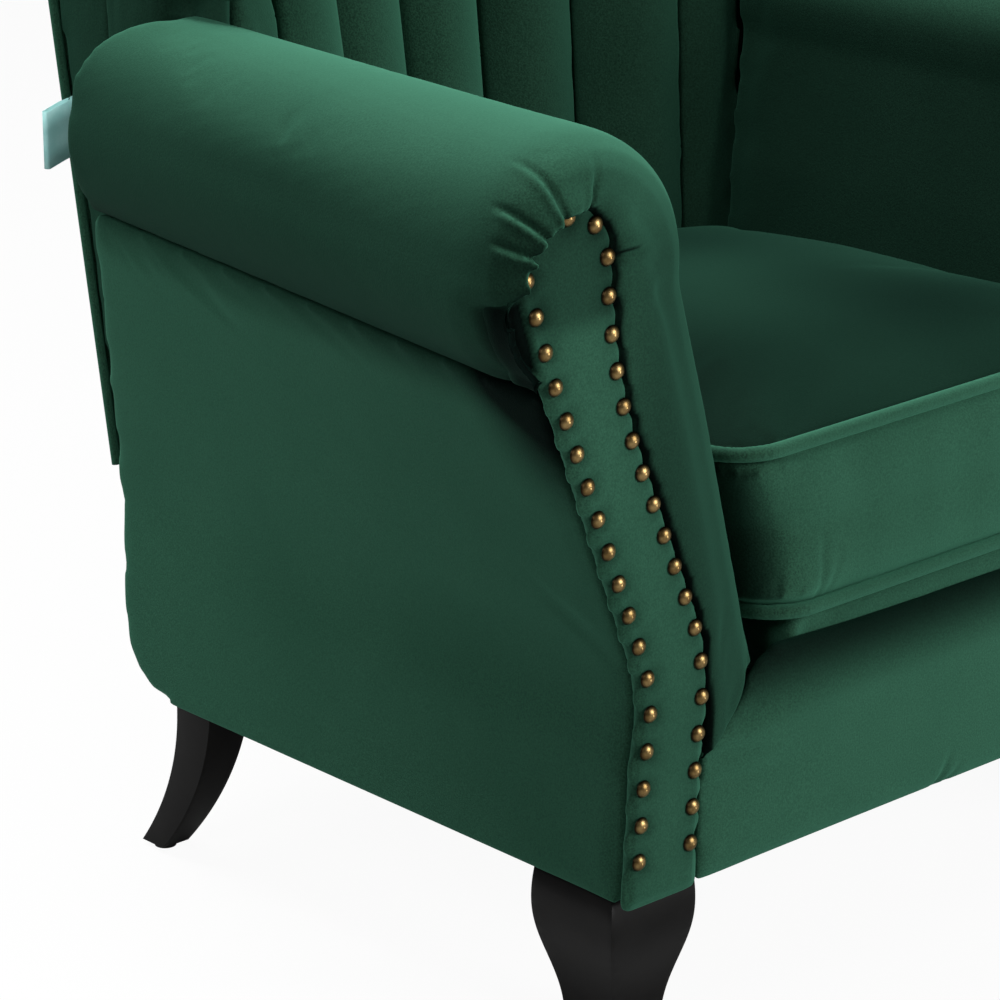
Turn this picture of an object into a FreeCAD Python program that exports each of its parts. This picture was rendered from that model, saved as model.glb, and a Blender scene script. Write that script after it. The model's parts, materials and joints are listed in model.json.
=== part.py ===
import FreeCAD, Part
import math
import os
import re
from types import SimpleNamespace
from FreeCAD import Placement, Rotation, Vector

# Wingback chair in millimetres. Seen from the front, X runs to the right, Y to the rear and Z up.
# The origin is on the floor, in the middle of the plan.

SIZES = (
    # Base
    ("front_face", -332.6),
    ("leg_height", 130.0),
    ("base_width", 660.0),
    ("rail_height", 99.0),
    ("rail_thickness", 22.0),
    ("rear_rail_thickness", 25.0),
    ("rear_rail_height", 65.3),
    ("post_thickness", 20.0),
    ("panel_thickness", 14.0),
    ("facing_thickness", 11.0),
    ("waist_inset", 10.0),
    ("waist_rise", 136.0),
    ("waist_bend", 34.0),
    ("waist_ease", 4.1),
    ("rear_corner_radius", 50.0),
    ("block_width", 58.0),
    ("block_length", 72.0),
    ("fit_gap", 0.4),
    ("frame_gap", 2.4),
    ("seam_gap", 3.2),
    ("dust_margin", 4.8),
    ("dust_thickness", 1.6),
    # Legs
    ("front_leg_knee", 77.0),
    ("front_leg_top", 73.0),
    ("front_leg_ankle", 46.5),
    ("front_leg_calf", 65.5),
    ("front_leg_foot", 46.0),
    ("front_leg_bow", 5.0),
    ("knee_drop", 20.0),
    ("ankle_height", 16.0),
    ("front_leg_setback", 70.0),
    ("rear_leg_top", 38.0),
    ("rear_leg_foot", 24.0),
    ("rear_leg_sweep", 52.0),
    ("rear_leg_splay", 7.0),
    ("rear_leg_setback", 7.0),
    ("glide_diameter", 18.0),
    ("glide_height", 4.0),
    ("glide_taper", 1.0),
    ("bolt_diameter", 8.0),
    ("bolt_depth", 45.0),
    ("rear_bolt_depth", 22.0),
    ("nut_flange", 22.0),
    ("nut_thickness", 2.0),
    # Scroll arms
    ("facing_width", 60.5),
    ("stem_width", 60.5),
    ("head_radius", 40.5),
    ("head_out", 57.5),
    ("head_padding", 39.0),
    ("neck_turn_out", 10.2),
    ("neck_turn_rise", 54.4),
    ("neck_low_out_share", 0.55),
    ("neck_low_rise_share", 0.4),
    ("neck_high_out_share", 0.68),
    ("neck_high_rise_share", 0.45),
    ("shoulder_in_share", 0.78),
    ("shoulder_rise_share", 0.66),
    ("chin_out_share", 0.8),
    ("chin_rise_share", 0.32),
    ("frame_lean_share", 0.86),
    ("arm_height", 652.0),
    ("arm_drop", 15.0),
    ("crease_drop", 158.0),
    ("crease_out", 72.0),
    ("crease_out_rear", 15.0),
    ("roll_bulge", 42.0),
    ("roll_bulge_rear", 17.0),
    ("roll_top_out", 35.0),
    ("roll_top_out_rear", -30.0),
    ("roll_start_share", 0.29),
    ("roll_inset", 68.0),
    ("roll_inset_rear", 108.0),
    ("middle_drop", 207.0),
    ("middle_inset", 94.0),
    ("middle_inset_rear", 131.0),
    ("seat_inset", 139.0),
    ("seat_inset_rear", 152.0),
    ("pad_foot_drop", 23.0),
    ("pad_heel_drop", 39.0),
    ("arm_end_radius", 60.0),
    ("arm_run", 527.0),
    ("pad_round_depth", 46.0),
    ("pad_round_inner", 54.0),
    ("pad_round_top", 36.0),
    ("pad_round_outer", 16.0),
    ("arm_frame_thickness", 24.0),
    ("slot_clearance", 3.0),
    ("arm_rail_height", 36.0),
    ("rear_post_depth", 40.0),
    ("post_inset", 16.0),
    ("nail_diameter", 12.0),
    ("nail_rise", 3.6),
    ("nail_pitch", 23.5),
    ("nail_margin", 7.0),
    # Seat
    ("spring_count", 5.0),
    ("spring_wire", 4.0),
    ("spring_width", 44.0),
    ("spring_turns", 19.0),
    ("spring_spacing", 66.0),
    ("clip_width", 18.0),
    ("seat_pitch", 3.5),
    ("cushion_front_gap", 5.0),
    ("cushion_rear_gap", 39.0),
    ("cushion_height", 122.0),
    ("cushion_crown", 26.0),
    ("cushion_draw", 6.0),
    ("cushion_side_gap", 3.0),
    ("cushion_corner", 34.0),
    ("cushion_rear_bow", 54.0),
    ("cover_cloth", 2.5),
    ("piping_diameter", 8.0),
    ("zip_angle", 40.0),
    ("zip_height", 8.0),
    ("zip_thickness", 1.8),
    ("slider_height", 10.0),
    ("slider_angle", 2.0),
    # Back
    ("pivot_depth", 520.0),
    ("pivot_height", 285.0),
    ("rake_angle", 7.0),
    ("back_height", 722.0),
    ("back_shoulder", 50.0),
    ("back_inset", 33.0),
    ("back_lean", 0.035),
    ("channel_count", 5.0),
    ("strip_width", 40.5),
    ("channel_crown", 24.0),
    ("channel_foam", 12.0),
    ("channel_fan_share", 0.289),
    ("fan_level", 305.0),
    ("channel_end", 40.0),
    ("channel_top_drop", 8.0),
    ("channel_foot_share", 0.5),
    ("channel_top_share", 0.3),
    ("back_hollow", 62.0),
    ("foam_rear", 24.0),
    ("strap_thickness", 2.0),
    ("strap_width", 50.0),
    ("strap_count", 6.0),
    ("stile_inset", 92.0),
    ("stile_width", 30.0),
    ("stile_front", 10.0),
    ("stile_depth", 40.0),
    ("back_rail_depth", 20.0),
    ("back_rail_height", 50.0),
    ("lumbar_level", 150.0),
    ("outside_thickness", 11.0),
    ("band_front", -10.0),
    ("wing_reach", 150.0),
    ("wing_top_reach", 62.0),
    ("wing_clearance", 5.0),
    ("strip_step", 16.0),
    ("notch_reach", 84.0),
    ("notch_inset", 14.0),
    ("tongue_width", 24.0),
    ("tongue_thickness", 4.0),
    ("tongue_length", 100.0),
    ("tongue_overlap", 85.0),
    ("socket_wall", 2.5),
    ("socket_depth", 52.0),
    ("socket_play", 0.6),
    ("tab_width", 30.0),
    ("tab_height", 42.0),
    ("tab_thickness", 1.6),
    ("tab_level", 235.0),
)

doc = FreeCAD.newDocument("WingbackChair")
sheet = doc.addObject("Spreadsheet::Sheet", "Sizes")
for row, (alias, value) in enumerate(SIZES, start=1):
    sheet.set(f"A{row}", alias)
    sheet.set(f"B{row}", str(value))
    sheet.setAlias(f"B{row}", alias)
doc.recompute()

WORDS = {alias for alias, value in SIZES}
s = SimpleNamespace(**{alias: float(sheet.get(alias)) for alias in WORDS})
parts = []

# Shares of the way along a form at which its sections stand
LEG_STEPS = (0.0, 0.33, 0.67, 1.0)
PAD_STEPS = (0.0, 0.12, 0.35, 0.7, 1.0)
# Wing seen from the side: share of its height, then share of its reach
WING_STEPS = ((0.0, 1.0), (0.28, 1.07), (0.58, 0.98), (0.82, 0.72))
# Crown of the cushion: share of its height, then inset in welt widths
CROWN_STEPS = ((0.62, 5), (0.88, 9), (1.0, 13))
# Two points nearer than this are one point
SAME_POINT = 1e-6

# Widths that keep their place in from the sides of the base
BASE_HALF = "(base_width/2)"
BACK_HALF = "(base_width/2 - back_inset)"
STILE_INNER = "(base_width/2 - stile_inset)"
s.base_half = s.base_width / 2
s.back_half = s.base_half - s.back_inset
s.stile_inner = s.base_half - s.stile_inset
s.notch_half = s.base_half - s.notch_inset
s.channel_width = 2 * (s.stile_inner - s.strip_width) / s.channel_count
s.seat_half, s.seat_half_rear = s.base_half - s.seat_inset, s.base_half - s.seat_inset_rear
s.inner_mid, s.inner_mid_rear = s.base_half - s.middle_inset, s.base_half - s.middle_inset_rear
s.roll_inner, s.roll_inner_rear = s.base_half - s.roll_inset, s.base_half - s.roll_inset_rear

# Depth of the cushion between the front edge and the back
s.cushion_depth = s.pivot_depth - s.cushion_front_gap - s.cushion_rear_gap

# Heights that keep their place down from the top of the arm
s.crease_height = s.arm_height - s.crease_drop
s.roll_start_height = s.crease_height + s.crease_drop * s.roll_start_share
s.inner_mid_height = s.arm_height - s.middle_drop

# Planes and lines that several pieces share
FRAME_HALF = "(base_width/2 - waist_inset - panel_thickness - 2*fit_gap)"
FRAME_FRONT = "(front_face + facing_thickness + fit_gap)"
BLOCK_FRONT = "(front_face + facing_thickness + post_thickness + 2*fit_gap)"
RAIL_BOTTOM = "(leg_height + fit_gap)"
RAIL_TOP = "(leg_height + fit_gap + rail_height)"
PIVOT = "(front_face + pivot_depth)"
RAIL_REAR_FACE = "(stile_front - tongue_thickness - socket_play - socket_wall - fit_gap)"
COVER_FACE = "(stile_front + socket_play + socket_wall + fit_gap)"
REAR_RAIL_TOP = f"({RAIL_TOP} - pivot_height - rear_rail_thickness*sin(rake_angle))"
REAR_BLOCK_LENGTH = "(rear_leg_top + rail_thickness)"
REAR_BLOCK_REAR = (f"({PIVOT} + ({RAIL_REAR_FACE} - rear_rail_thickness)*cos(rake_angle)"
                   f" + ({REAR_RAIL_TOP} - rear_rail_height)*sin(rake_angle) - frame_gap)")
REAR_BLOCK_FRONT = f"({REAR_BLOCK_REAR} - {REAR_BLOCK_LENGTH})"
# Each leg bolt: distance from the middle, depth in the chair and length inside the leg
BOLTS = {
    "front": (f"({FRAME_HALF} - block_width/2)", "(front_face + front_leg_setback)", "bolt_depth"),
    "rear": (f"({FRAME_HALF} - block_width/4)", f"({REAR_BLOCK_FRONT} + rear_leg_top)", "rear_bolt_depth"),
}


def bound(formula):
    """Write a formula in the sheet's words as an expression."""
    return re.sub(r"[a-z_]+", lambda m: "Sizes." + m[0] if m[0] in WORDS else m[0], formula)


def number(formula):
    """Work a formula in the sheet's words out as a number."""
    words = re.findall(r"[a-z_]+", formula)
    probe = sheet.evalExpression(bound(formula)) if words else float(formula)
    return float(getattr(probe, "Value", probe))


def bind(obj, prop, formula):
    """Tie one property of an object to a formula in the sheet's words."""
    obj.setExpression(prop, bound(formula))


def keep(obj, label):
    """Name an object as one finished sub-part."""
    obj.Label = label
    parts.append(obj)
    return obj


def seat(obj, corner, raked=False):
    """Place an object by formulas, in the chair's frame or in the raked frame of the back."""
    x, y, z = corner
    if raked:
        obj.Placement = Placement(Vector(), Rotation(Vector(-1, 0, 0), s.rake_angle))
        bind(obj, "Placement.Rotation.Angle", "rake_angle")
        y, z = (f"{PIVOT} + ({y})*cos(rake_angle) + ({z})*sin(rake_angle)",
                f"pivot_height - ({y})*sin(rake_angle) + ({z})*cos(rake_angle)")
    for prop, formula in zip("xyz", (x, y, z)):
        bind(obj, "Placement.Base." + prop, formula)
    return obj


def block(name, size, corner, raked=False):
    """A rectangular piece of wood, metal or cloth with its three sizes and one corner given."""
    box = doc.addObject("Part::Box", name)
    for prop, formula in zip(("Length", "Width", "Height"), size):
        bind(box, prop, formula)
    return seat(box, corner, raked)


def rod(name, diameter, length, foot):
    """An upright round piece."""
    cylinder = doc.addObject("Part::Cylinder", name)
    bind(cylinder, "Radius", f"({diameter})/2")
    bind(cylinder, "Height", length)
    return seat(cylinder, foot)


def cut(name, base, tool):
    """One piece with another taken away."""
    result = doc.addObject("Part::Cut", name)
    result.Base = base
    result.Tool = tool
    return result


def group(name, members):
    """Separate solids that share one node."""
    result = doc.addObject("Part::Compound", name)
    result.Links = members
    return result


def rake():
    """The placement of everything that leans with the back."""
    return Placement(Vector(0, number(PIVOT), s.pivot_height),
                     Rotation(Vector(-1, 0, 0), s.rake_angle))


def form(label, shape, place=None):
    """A free-form sub-part, with its placement set after its shape."""
    piece = doc.addObject("Part::Feature", label)
    piece.Shape = shape
    if place is not None:
        piece.Placement = place
    return keep(piece, label)


def pair(name, shape, place=None):
    """A free-form sub-part on the right and its mirror image on the left."""
    form("right_" + name, shape, place)
    form("left_" + name, shape.mirror(Vector(), Vector(1, 0, 0)), place)


def outline(spot, start, *steps):
    """A closed wire of lines and three-point arcs. spot turns two numbers into a point."""
    edges = []
    here = spot(*start)
    for step in steps + (start,):
        if isinstance(step[0], tuple):
            middle, end = spot(*step[0]), spot(*step[1])
            edges.append(Part.Arc(here, middle, end).toShape())
        else:
            end = spot(*step)
            if here.distanceToPoint(end) < SAME_POINT:
                continue
            edges.append(Part.LineSegment(here, end).toShape())
        here = end
    return Part.Wire(edges)


def mix(a, b, share):
    """The value a given share of the way from a to b."""
    return a + (b - a) * share


def prism(wire, run):
    """A closed flat outline pushed along a vector."""
    return Part.Face(wire).extrude(run)


# Frame of the base: rails, corner blocks, springs, deck and covers

def make_base_frame():
    """Four rails and the bored blocks that brace their corners."""
    post_inner = f"({BASE_HALF} - waist_inset - stem_width + post_inset - fit_gap)"
    front_rail = block("front_rail", (f"2*{post_inner}", "post_thickness", "rail_height"),
                       (f"-{post_inner}", FRAME_FRONT, RAIL_BOTTOM))
    keep(front_rail, "front_rail")
    rear_rail = block("rear_rail", (f"2*{FRAME_HALF}", "rear_rail_thickness", "rear_rail_height"),
                      (f"-{FRAME_HALF}", f"{RAIL_REAR_FACE} - rear_rail_thickness",
                       f"{REAR_RAIL_TOP} - rear_rail_height"), raked=True)
    keep(rear_rail, "rear_rail")
    for side, x in (("left", f"-{FRAME_HALF}"), ("right", f"{FRAME_HALF} - rail_thickness")):
        rail = block(side + "_rail",
                     ("rail_thickness", f"{REAR_BLOCK_FRONT} - {BLOCK_FRONT} - block_length - 2*fit_gap",
                      "rail_height"),
                     (x, f"{BLOCK_FRONT} + block_length + fit_gap", RAIL_BOTTOM))
        keep(rail, side + "_side_rail")
    blocks = []
    for end, y, length in (("front", BLOCK_FRONT, "block_length"),
                           ("rear", REAR_BLOCK_FRONT, REAR_BLOCK_LENGTH)):
        bolt_x, bolt_y = BOLTS[end][:2]
        for side, sign in (("left", "-1"), ("right", "1")):
            name = f"{end}_{side}_block"
            solid = block(name, ("block_width", length, "rail_height + fit_gap"),
                          (f"{sign}*({FRAME_HALF} - block_width/2) - block_width/2", y, "leg_height"))
            bore = rod(name + "_bore", "bolt_diameter + 2*fit_gap", "rail_height + 2*fit_gap",
                       (f"{sign}*{bolt_x}", bolt_y, "leg_height"))
            blocks.append(cut(name + "_bored", solid, bore))
    keep(group("corner_blocks", blocks), "corner_blocks")


def spring_wire(x, y, span, level):
    """One flat sinuous spring: straight bars across the seat joined by half turns."""
    turns = int(s.spring_turns)
    radius = span / turns / 2
    half = s.spring_width / 2 - radius
    edges = []
    side = 1
    for bar in range(turns + 1):
        here = y + bar * 2 * radius
        edges.append(Part.LineSegment(Vector(x - side * half, here, level),
                                      Vector(x + side * half, here, level)).toShape())
        if bar < turns:
            tip = Vector(x + side * (half + radius), here + radius, level)
            edges.append(Part.Arc(Vector(x + side * half, here, level), tip,
                                  Vector(x + side * half, here + 2 * radius, level)).toShape())
        side = -side
    path = Part.Wire(edges)
    start = Vector(x - half, y, level)
    circle = Part.Circle(start, Vector(1, 0, 0), s.spring_wire / 2).toShape()
    return path.makePipeShell([Part.Wire([circle])], True, False)


def make_springs():
    """The seat's springs, from the front rail to the rear rail, and the clips at their ends."""
    level = number(RAIL_TOP) + s.spring_wire
    start = number(FRAME_FRONT) + s.post_thickness / 2
    rear = number(f"{PIVOT} + {RAIL_REAR_FACE} - rear_rail_thickness/2") \
        - math.tan(math.radians(s.rake_angle)) * (s.pivot_height - number(RAIL_TOP))
    count = int(s.spring_count)
    places = [(i - (count - 1) / 2) * s.spring_spacing for i in range(count)]
    wires = [spring_wire(x, start, rear - start, level) for x in places]
    form("seat_springs", Part.makeCompound(wires))
    clips = []
    for x in places:
        for y in (start, rear):
            width, height = s.clip_width, 2 * s.spring_wire
            corner = Vector(x - width / 2, y - width / 2, number(RAIL_TOP) + s.fit_gap)
            plate = Part.makeBox(width, width, height, corner)
            groove = Part.makeBox(width, s.spring_wire + s.fit_gap, s.spring_wire + s.fit_gap,
                                  Vector(corner.x, y - (s.spring_wire + s.fit_gap) / 2,
                                         level - (s.spring_wire + s.fit_gap) / 2))
            clips.append(plate.cut(groove))
    form("spring_clips", Part.makeCompound(clips))


def make_deck():
    """The padded deck that the cushion lies on."""
    half = min(s.seat_half, s.seat_half_rear) - s.cushion_side_gap
    front = number(FRAME_FRONT)
    rear = number(PIVOT) - s.channel_crown - s.facing_thickness
    low = number(RAIL_TOP) + 2 * s.spring_wire + 2 * s.fit_gap
    drop = math.tan(math.radians(s.seat_pitch)) * (rear - front)
    top = s.pivot_height - s.fit_gap
    side = outline(lambda y, z: Vector(-half, y, z), (front, low), (rear, low),
                   (rear, top - drop), (front, top))
    form("seat_deck", prism(side, Vector(2 * half, 0, 0)))


def make_base_covers():
    """Padded covers of the front and rear rails, and the cloth under the seat."""
    points = facing_points(s.fit_gap)
    low, knee = points["inner_low"], points["inner_bend"]
    top = s.pivot_height - s.pad_foot_drop - 2 * s.fit_gap
    bend = (s.seat_half + s.fit_gap, top)
    flat = outline(lambda x, z: Vector(x, s.front_face, z),
                   (-low[0], s.leg_height), (low[0], s.leg_height), knee, bend,
                   (-bend[0], bend[1]), (-knee[0], knee[1]))
    form("front_cover", prism(flat, Vector(0, s.facing_thickness, 0)))
    half = number(FRAME_HALF)
    outer = rear_outline(-s.fit_gap)
    inner = rear_outline(-s.facing_thickness - s.fit_gap)
    edge = outline(lambda y, z: Vector(-half, y, z), outer[0], outer[1], (outer[2], outer[3]),
                   inner[3], (inner[2], inner[1]), inner[0])
    form("rear_cover", prism(edge, Vector(2 * half, 0, 0)))
    dust_half = f"({FRAME_HALF} - block_width - dust_margin)"
    dust = block("dust_cover", (f"2*{dust_half}", f"{REAR_BLOCK_FRONT} + rear_leg_top - {FRAME_FRONT}",
                                "dust_thickness"),
                 (f"-{dust_half}", FRAME_FRONT, "leg_height - dust_thickness"))
    keep(dust, "dust_cover")


def rear_outline(grow):
    """Rear edge of the base seen from the side: the rake, then a round lower corner."""
    slope = math.tan(math.radians(s.rake_angle))
    face = number(PIVOT) + number(COVER_FACE) + s.facing_thickness + s.fit_gap + grow
    top = s.pivot_height - s.seam_gap
    radius = s.rear_corner_radius + grow
    turn = s.leg_height + s.rear_corner_radius
    bend = face - slope * (s.pivot_height - turn)
    return ((face - slope * (s.pivot_height - top), top), (bend, turn),
            (bend - radius * (1 - math.sqrt(0.5)), turn - radius * math.sqrt(0.5)),
            (bend - radius, turn - radius))


# Legs with their bolts, nuts and glides

def square(x, y, z, side):
    """A square section of a leg about its centre."""
    half = side / 2
    return outline(lambda a, b: Vector(x + a, y + b, z), (-half, -half), (half, -half),
                   (half, half), (-half, half))


def make_legs():
    """Square cabriole legs at the front, sabre legs at the rear and a glide under each foot."""
    bolt_hole = s.bolt_diameter / 2 + s.fit_gap
    x, y, depth = (number(word) for word in BOLTS["front"])
    knee = s.leg_height - s.knee_drop
    middle = (knee + s.ankle_height) / 2
    sections = [
        square(x + s.front_leg_bow, y - s.front_leg_bow, s.leg_height, s.front_leg_top),
        square(x + 2 * s.front_leg_bow, y - 2 * s.front_leg_bow, knee, s.front_leg_knee),
        square(x, y, middle, s.front_leg_calf),
        square(x - s.front_leg_bow, y + s.front_leg_bow, s.ankle_height, s.front_leg_ankle),
        square(x, y, s.glide_height, s.front_leg_foot)]
    hole = Part.makeCylinder(bolt_hole, depth, Vector(x, y, s.leg_height - depth))
    pair("front_leg", Part.makeLoft(sections, True, False).cut(hole))
    feet = [(x, y)]
    x, y, depth = (number(word) for word in BOLTS["rear"])
    sections = []
    for share in LEG_STEPS:
        sections.append(square(x + s.rear_leg_splay * (1 + share),
                               y + s.rear_leg_setback + s.rear_leg_sweep * share ** 2,
                               mix(s.leg_height, s.glide_height, share),
                               mix(s.rear_leg_top, s.rear_leg_foot, share)))
    hole = Part.makeCylinder(bolt_hole, depth, Vector(x, y, s.leg_height - depth))
    pair("rear_leg", Part.makeLoft(sections, True, False).cut(hole))
    feet.append((x + 2 * s.rear_leg_splay, y + s.rear_leg_setback + s.rear_leg_sweep))
    glides = []
    for x, y in feet:
        for sign in (1, -1):
            radius = s.glide_diameter / 2
            glides.append(Part.makeCone(radius - s.glide_taper, radius, s.glide_height,
                                        Vector(sign * x, y, 0)))
    form("foot_glides", Part.makeCompound(glides))


def make_leg_hardware():
    """A bolt through each corner block into its leg, and the nut on top."""
    bolts = []
    nuts = []
    for end, (x, y, depth) in BOLTS.items():
        for side, sign in (("left", "-1"), ("right", "1")):
            name = f"{end}_{side}"
            foot = (f"{sign}*{x}", y, f"leg_height - {depth} + fit_gap")
            length = f"{depth} + rail_height + nut_thickness"
            bolts.append(rod(name + "_bolt", "bolt_diameter", length, foot))
            flange = rod(name + "_flange", "nut_flange", "nut_thickness", (foot[0], y, RAIL_TOP))
            bore = rod(name + "_thread", "bolt_diameter + fit_gap/2", "2*nut_thickness",
                       (foot[0], y, f"{RAIL_TOP} - nut_thickness/2"))
            nuts.append(cut(name + "_nut", flange, bore))
    keep(group("leg_bolts", bolts), "leg_bolts")
    keep(group("tee_nuts", nuts), "tee_nuts")


# Scroll arms

def facing_points(grow=0.0):
    """Outline of the front facing as named points, distance from the middle then height."""
    half = s.base_width / 2
    low = s.leg_height
    waist = low + s.waist_rise
    outer = half - s.waist_inset + grow
    inner = half - s.waist_inset - s.stem_width - grow
    head_x = half + s.head_out
    head_z = s.arm_height - s.head_padding - s.head_radius
    radius = s.head_radius + grow
    flare = (s.crease_out + s.waist_inset) / (s.crease_height - waist)
    bend = s.waist_bend
    neck = s.crease_height + bend / 2
    turn = (inner + s.neck_turn_out, waist + s.neck_turn_rise)
    rise = (mix(turn[0], head_x - radius, s.neck_low_out_share),
            mix(turn[1], head_z, s.neck_low_rise_share))
    return {
        "outer_low": (half + grow, low - grow),
        "outer_start": (outer + s.waist_ease, waist - bend),
        "outer_waist": (outer, waist),
        "outer_bend": (outer + bend * flare / 2, waist + bend),
        "outer_neck": (outer + (neck - waist) * flare, neck),
        "head_side": (head_x + radius, head_z),
        "head_top": (head_x, head_z + radius),
        "head_shoulder": (head_x - radius * math.sqrt(0.5), head_z + radius * math.sqrt(0.5)),
        "head_inner": (head_x - radius, head_z),
        "inner_neck": (mix(rise[0], head_x - radius, s.neck_high_out_share),
                       mix(rise[1], head_z, s.neck_high_rise_share)),
        "inner_rise": rise,
        "inner_turn": turn,
        "inner_waist": (inner, waist),
        "inner_bend": (inner + s.waist_ease, waist - bend),
        "inner_low": (half - s.facing_width - grow, low - grow),
    }


def facing_wire(y, grow=0.0):
    """The facing's closed outline on a plane across the chair."""
    p = facing_points(grow)
    return outline(lambda x, z: Vector(x, y, z), p["outer_low"], p["outer_start"],
                   (p["outer_waist"], p["outer_bend"]), p["outer_neck"],
                   (p["head_side"], p["head_top"]), (p["head_shoulder"], p["head_inner"]),
                   (p["inner_neck"], p["inner_rise"]), p["inner_turn"],
                   (p["inner_waist"], p["inner_bend"]), p["inner_low"])


def arm_line(share, z):
    """Middle of the arm's timber frame at a height, from front (0) to rear (1)."""
    p = facing_points()
    foot = s.leg_height + s.waist_rise
    low = (p["inner_waist"][0] + p["outer_waist"][0]) / 2
    lean = (s.base_width / 2 + s.head_out - low) / (s.crease_height - foot)
    lean_rear = (s.crease_out_rear + s.waist_inset) / (s.crease_height - foot)
    return low + (z - foot) * mix(s.frame_lean_share * lean, lean_rear, share)


def arm_length():
    """Length of the arm pad from the front face to its rear end."""
    return s.pivot_depth + s.rear_corner_radius


def arm_section(y, round_share=0.0):
    """Section of the arm pad: inner face, roll, crease and the slot for the timber frame."""
    share = (y - s.front_face) / arm_length()
    half = s.base_width / 2
    inward = s.pad_round_inner * round_share
    down = s.pad_round_top * round_share
    low = s.pivot_height - mix(s.pad_foot_drop, 0, share)
    crease_x = half + mix(s.crease_out, s.crease_out_rear, share)
    outer = crease_x + mix(s.roll_bulge, s.roll_bulge_rear, share) - s.pad_round_outer * round_share
    outer_z = (s.arm_height + s.crease_height) / 2
    top = (half + mix(s.roll_top_out, s.roll_top_out_rear, share),
           s.arm_height - s.arm_drop * share - down)
    start = (mix(s.roll_inner, s.roll_inner_rear, share) + inward, s.roll_start_height)
    middle = mix(s.inner_mid, s.inner_mid_rear, share) + inward
    foot = mix(s.seat_half, s.seat_half_rear, share) + inward
    slot = s.arm_frame_thickness / 2 + s.slot_clearance
    slot_top = s.crease_height + 2 * s.arm_rail_height
    arc = math.sqrt(0.5)
    shoulder = (mix(top[0], start[0], s.shoulder_in_share),
                mix(start[1], top[1], s.shoulder_rise_share))
    brow = (top[0] + (outer - top[0]) * arc, outer_z + (top[1] - outer_z) * arc)
    chin = (mix(crease_x, outer, s.chin_out_share), mix(s.crease_height, outer_z, s.chin_rise_share))
    lip = arm_line(share, s.crease_height) + slot
    heel = s.pivot_height - mix(s.pad_heel_drop, 0, share)
    return outline(lambda x, z: Vector(x, y, z), (foot, low), (middle, s.inner_mid_height), start,
                   (shoulder, top), (brow, (outer, outer_z)), (chin, (crease_x, s.crease_height)),
                   (lip, s.crease_height), (arm_line(share, slot_top) + slot, slot_top),
                   (arm_line(share, slot_top) - slot, slot_top), (arm_line(share, heel) - slot, heel))


def arm_pad():
    """The padded inside of the arm and its roll, open below for the frame and at the rear for the back."""
    front = s.front_face - s.nail_rise
    sections = []
    for step in PAD_STEPS:
        round_share = 1 - math.sqrt(1 - (1 - step) ** 2)
        sections.append(arm_section(front + s.pad_round_depth * step, round_share))
    sections.append(arm_section(s.front_face + arm_length()))
    pad = Part.makeLoft(sections, True, True)
    ahead = 2 * s.nail_rise
    deep = s.facing_thickness + s.post_thickness + 2 * s.fit_gap + ahead
    pocket = prism(facing_wire(s.front_face - ahead, s.fit_gap), Vector(0, deep, 0))
    pad = pad.cut(pocket)
    pad = pad.cut(back_notch())
    return pad.common(arm_end())


def back_notch():
    """The space behind the arm pad that the raked back drops into."""
    notch = Part.makeBox(s.notch_half, s.back_height, 2 * s.back_height,
                         Vector(0, -s.notch_reach, -s.back_height))
    notch.Placement = rake()
    return notch


def arm_end():
    """Side view of the arm, with the roll's round rear end."""
    radius = s.arm_end_radius
    arc = radius * math.sqrt(0.5)
    rear = s.front_face + s.arm_run
    middle = s.arm_height - s.arm_drop - radius
    front = s.front_face - 2 * s.nail_rise
    side = outline(lambda y, z: Vector(0, y, z), (front, s.leg_height), (rear, s.leg_height),
                   (rear, middle), ((rear - radius + arc, middle + arc), (rear - radius, middle + radius)),
                   (front, s.arm_height + s.arm_drop))
    return prism(side, Vector(s.base_width, 0, 0))


def side_panel():
    """The outside of the arm: upright below the waist and flared towards the front above it."""
    wires = []
    length = arm_length()
    front = number(FRAME_FRONT)
    p = facing_points()
    thick = s.panel_thickness
    for y, out in ((front, s.crease_out), (s.front_face + length, s.crease_out_rear)):
        flare = (out + s.waist_inset) / (s.crease_height - p["outer_waist"][1])
        bend = (p["outer_waist"][0] + s.waist_bend * flare / 2, p["outer_bend"][1])
        crease = (s.base_width / 2 + out, s.crease_height - s.fit_gap)
        inward = [(x - thick, z) for x, z in (crease, bend, p["outer_waist"], p["outer_start"],
                                              p["outer_low"])]
        wires.append(outline(lambda x, z: Vector(x, y, z), p["outer_low"], p["outer_start"],
                             (p["outer_waist"], bend), crease, inward[0], inward[1],
                             (inward[2], inward[3]), inward[4]))
    panel = Part.makeLoft(wires, True, True)
    edge = rear_outline(0)
    crease = (s.front_face + s.arm_run, s.crease_height)
    side = outline(lambda y, z: Vector(0, y, z), (s.front_face, s.leg_height), edge[3],
                   (edge[2], edge[1]), edge[0], crease, (s.front_face, s.crease_height))
    return panel.common(prism(side, Vector(s.base_width, 0, 0)))


def arm_timber(name, y_front, y_rear, z_low, z_high):
    """A straight timber of the arm that leans with it."""
    half = s.arm_frame_thickness / 2
    length = arm_length()
    wires = []
    for y in (y_front, y_rear):
        share = (y - s.front_face) / length
        low, high = arm_line(share, z_low), arm_line(share, z_high)
        wires.append(outline(lambda x, z: Vector(x, y, z), (low - half, z_low), (low + half, z_low),
                             (high + half, z_high), (high - half, z_high)))
    pair(name, Part.makeLoft(wires, True, True))


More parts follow.
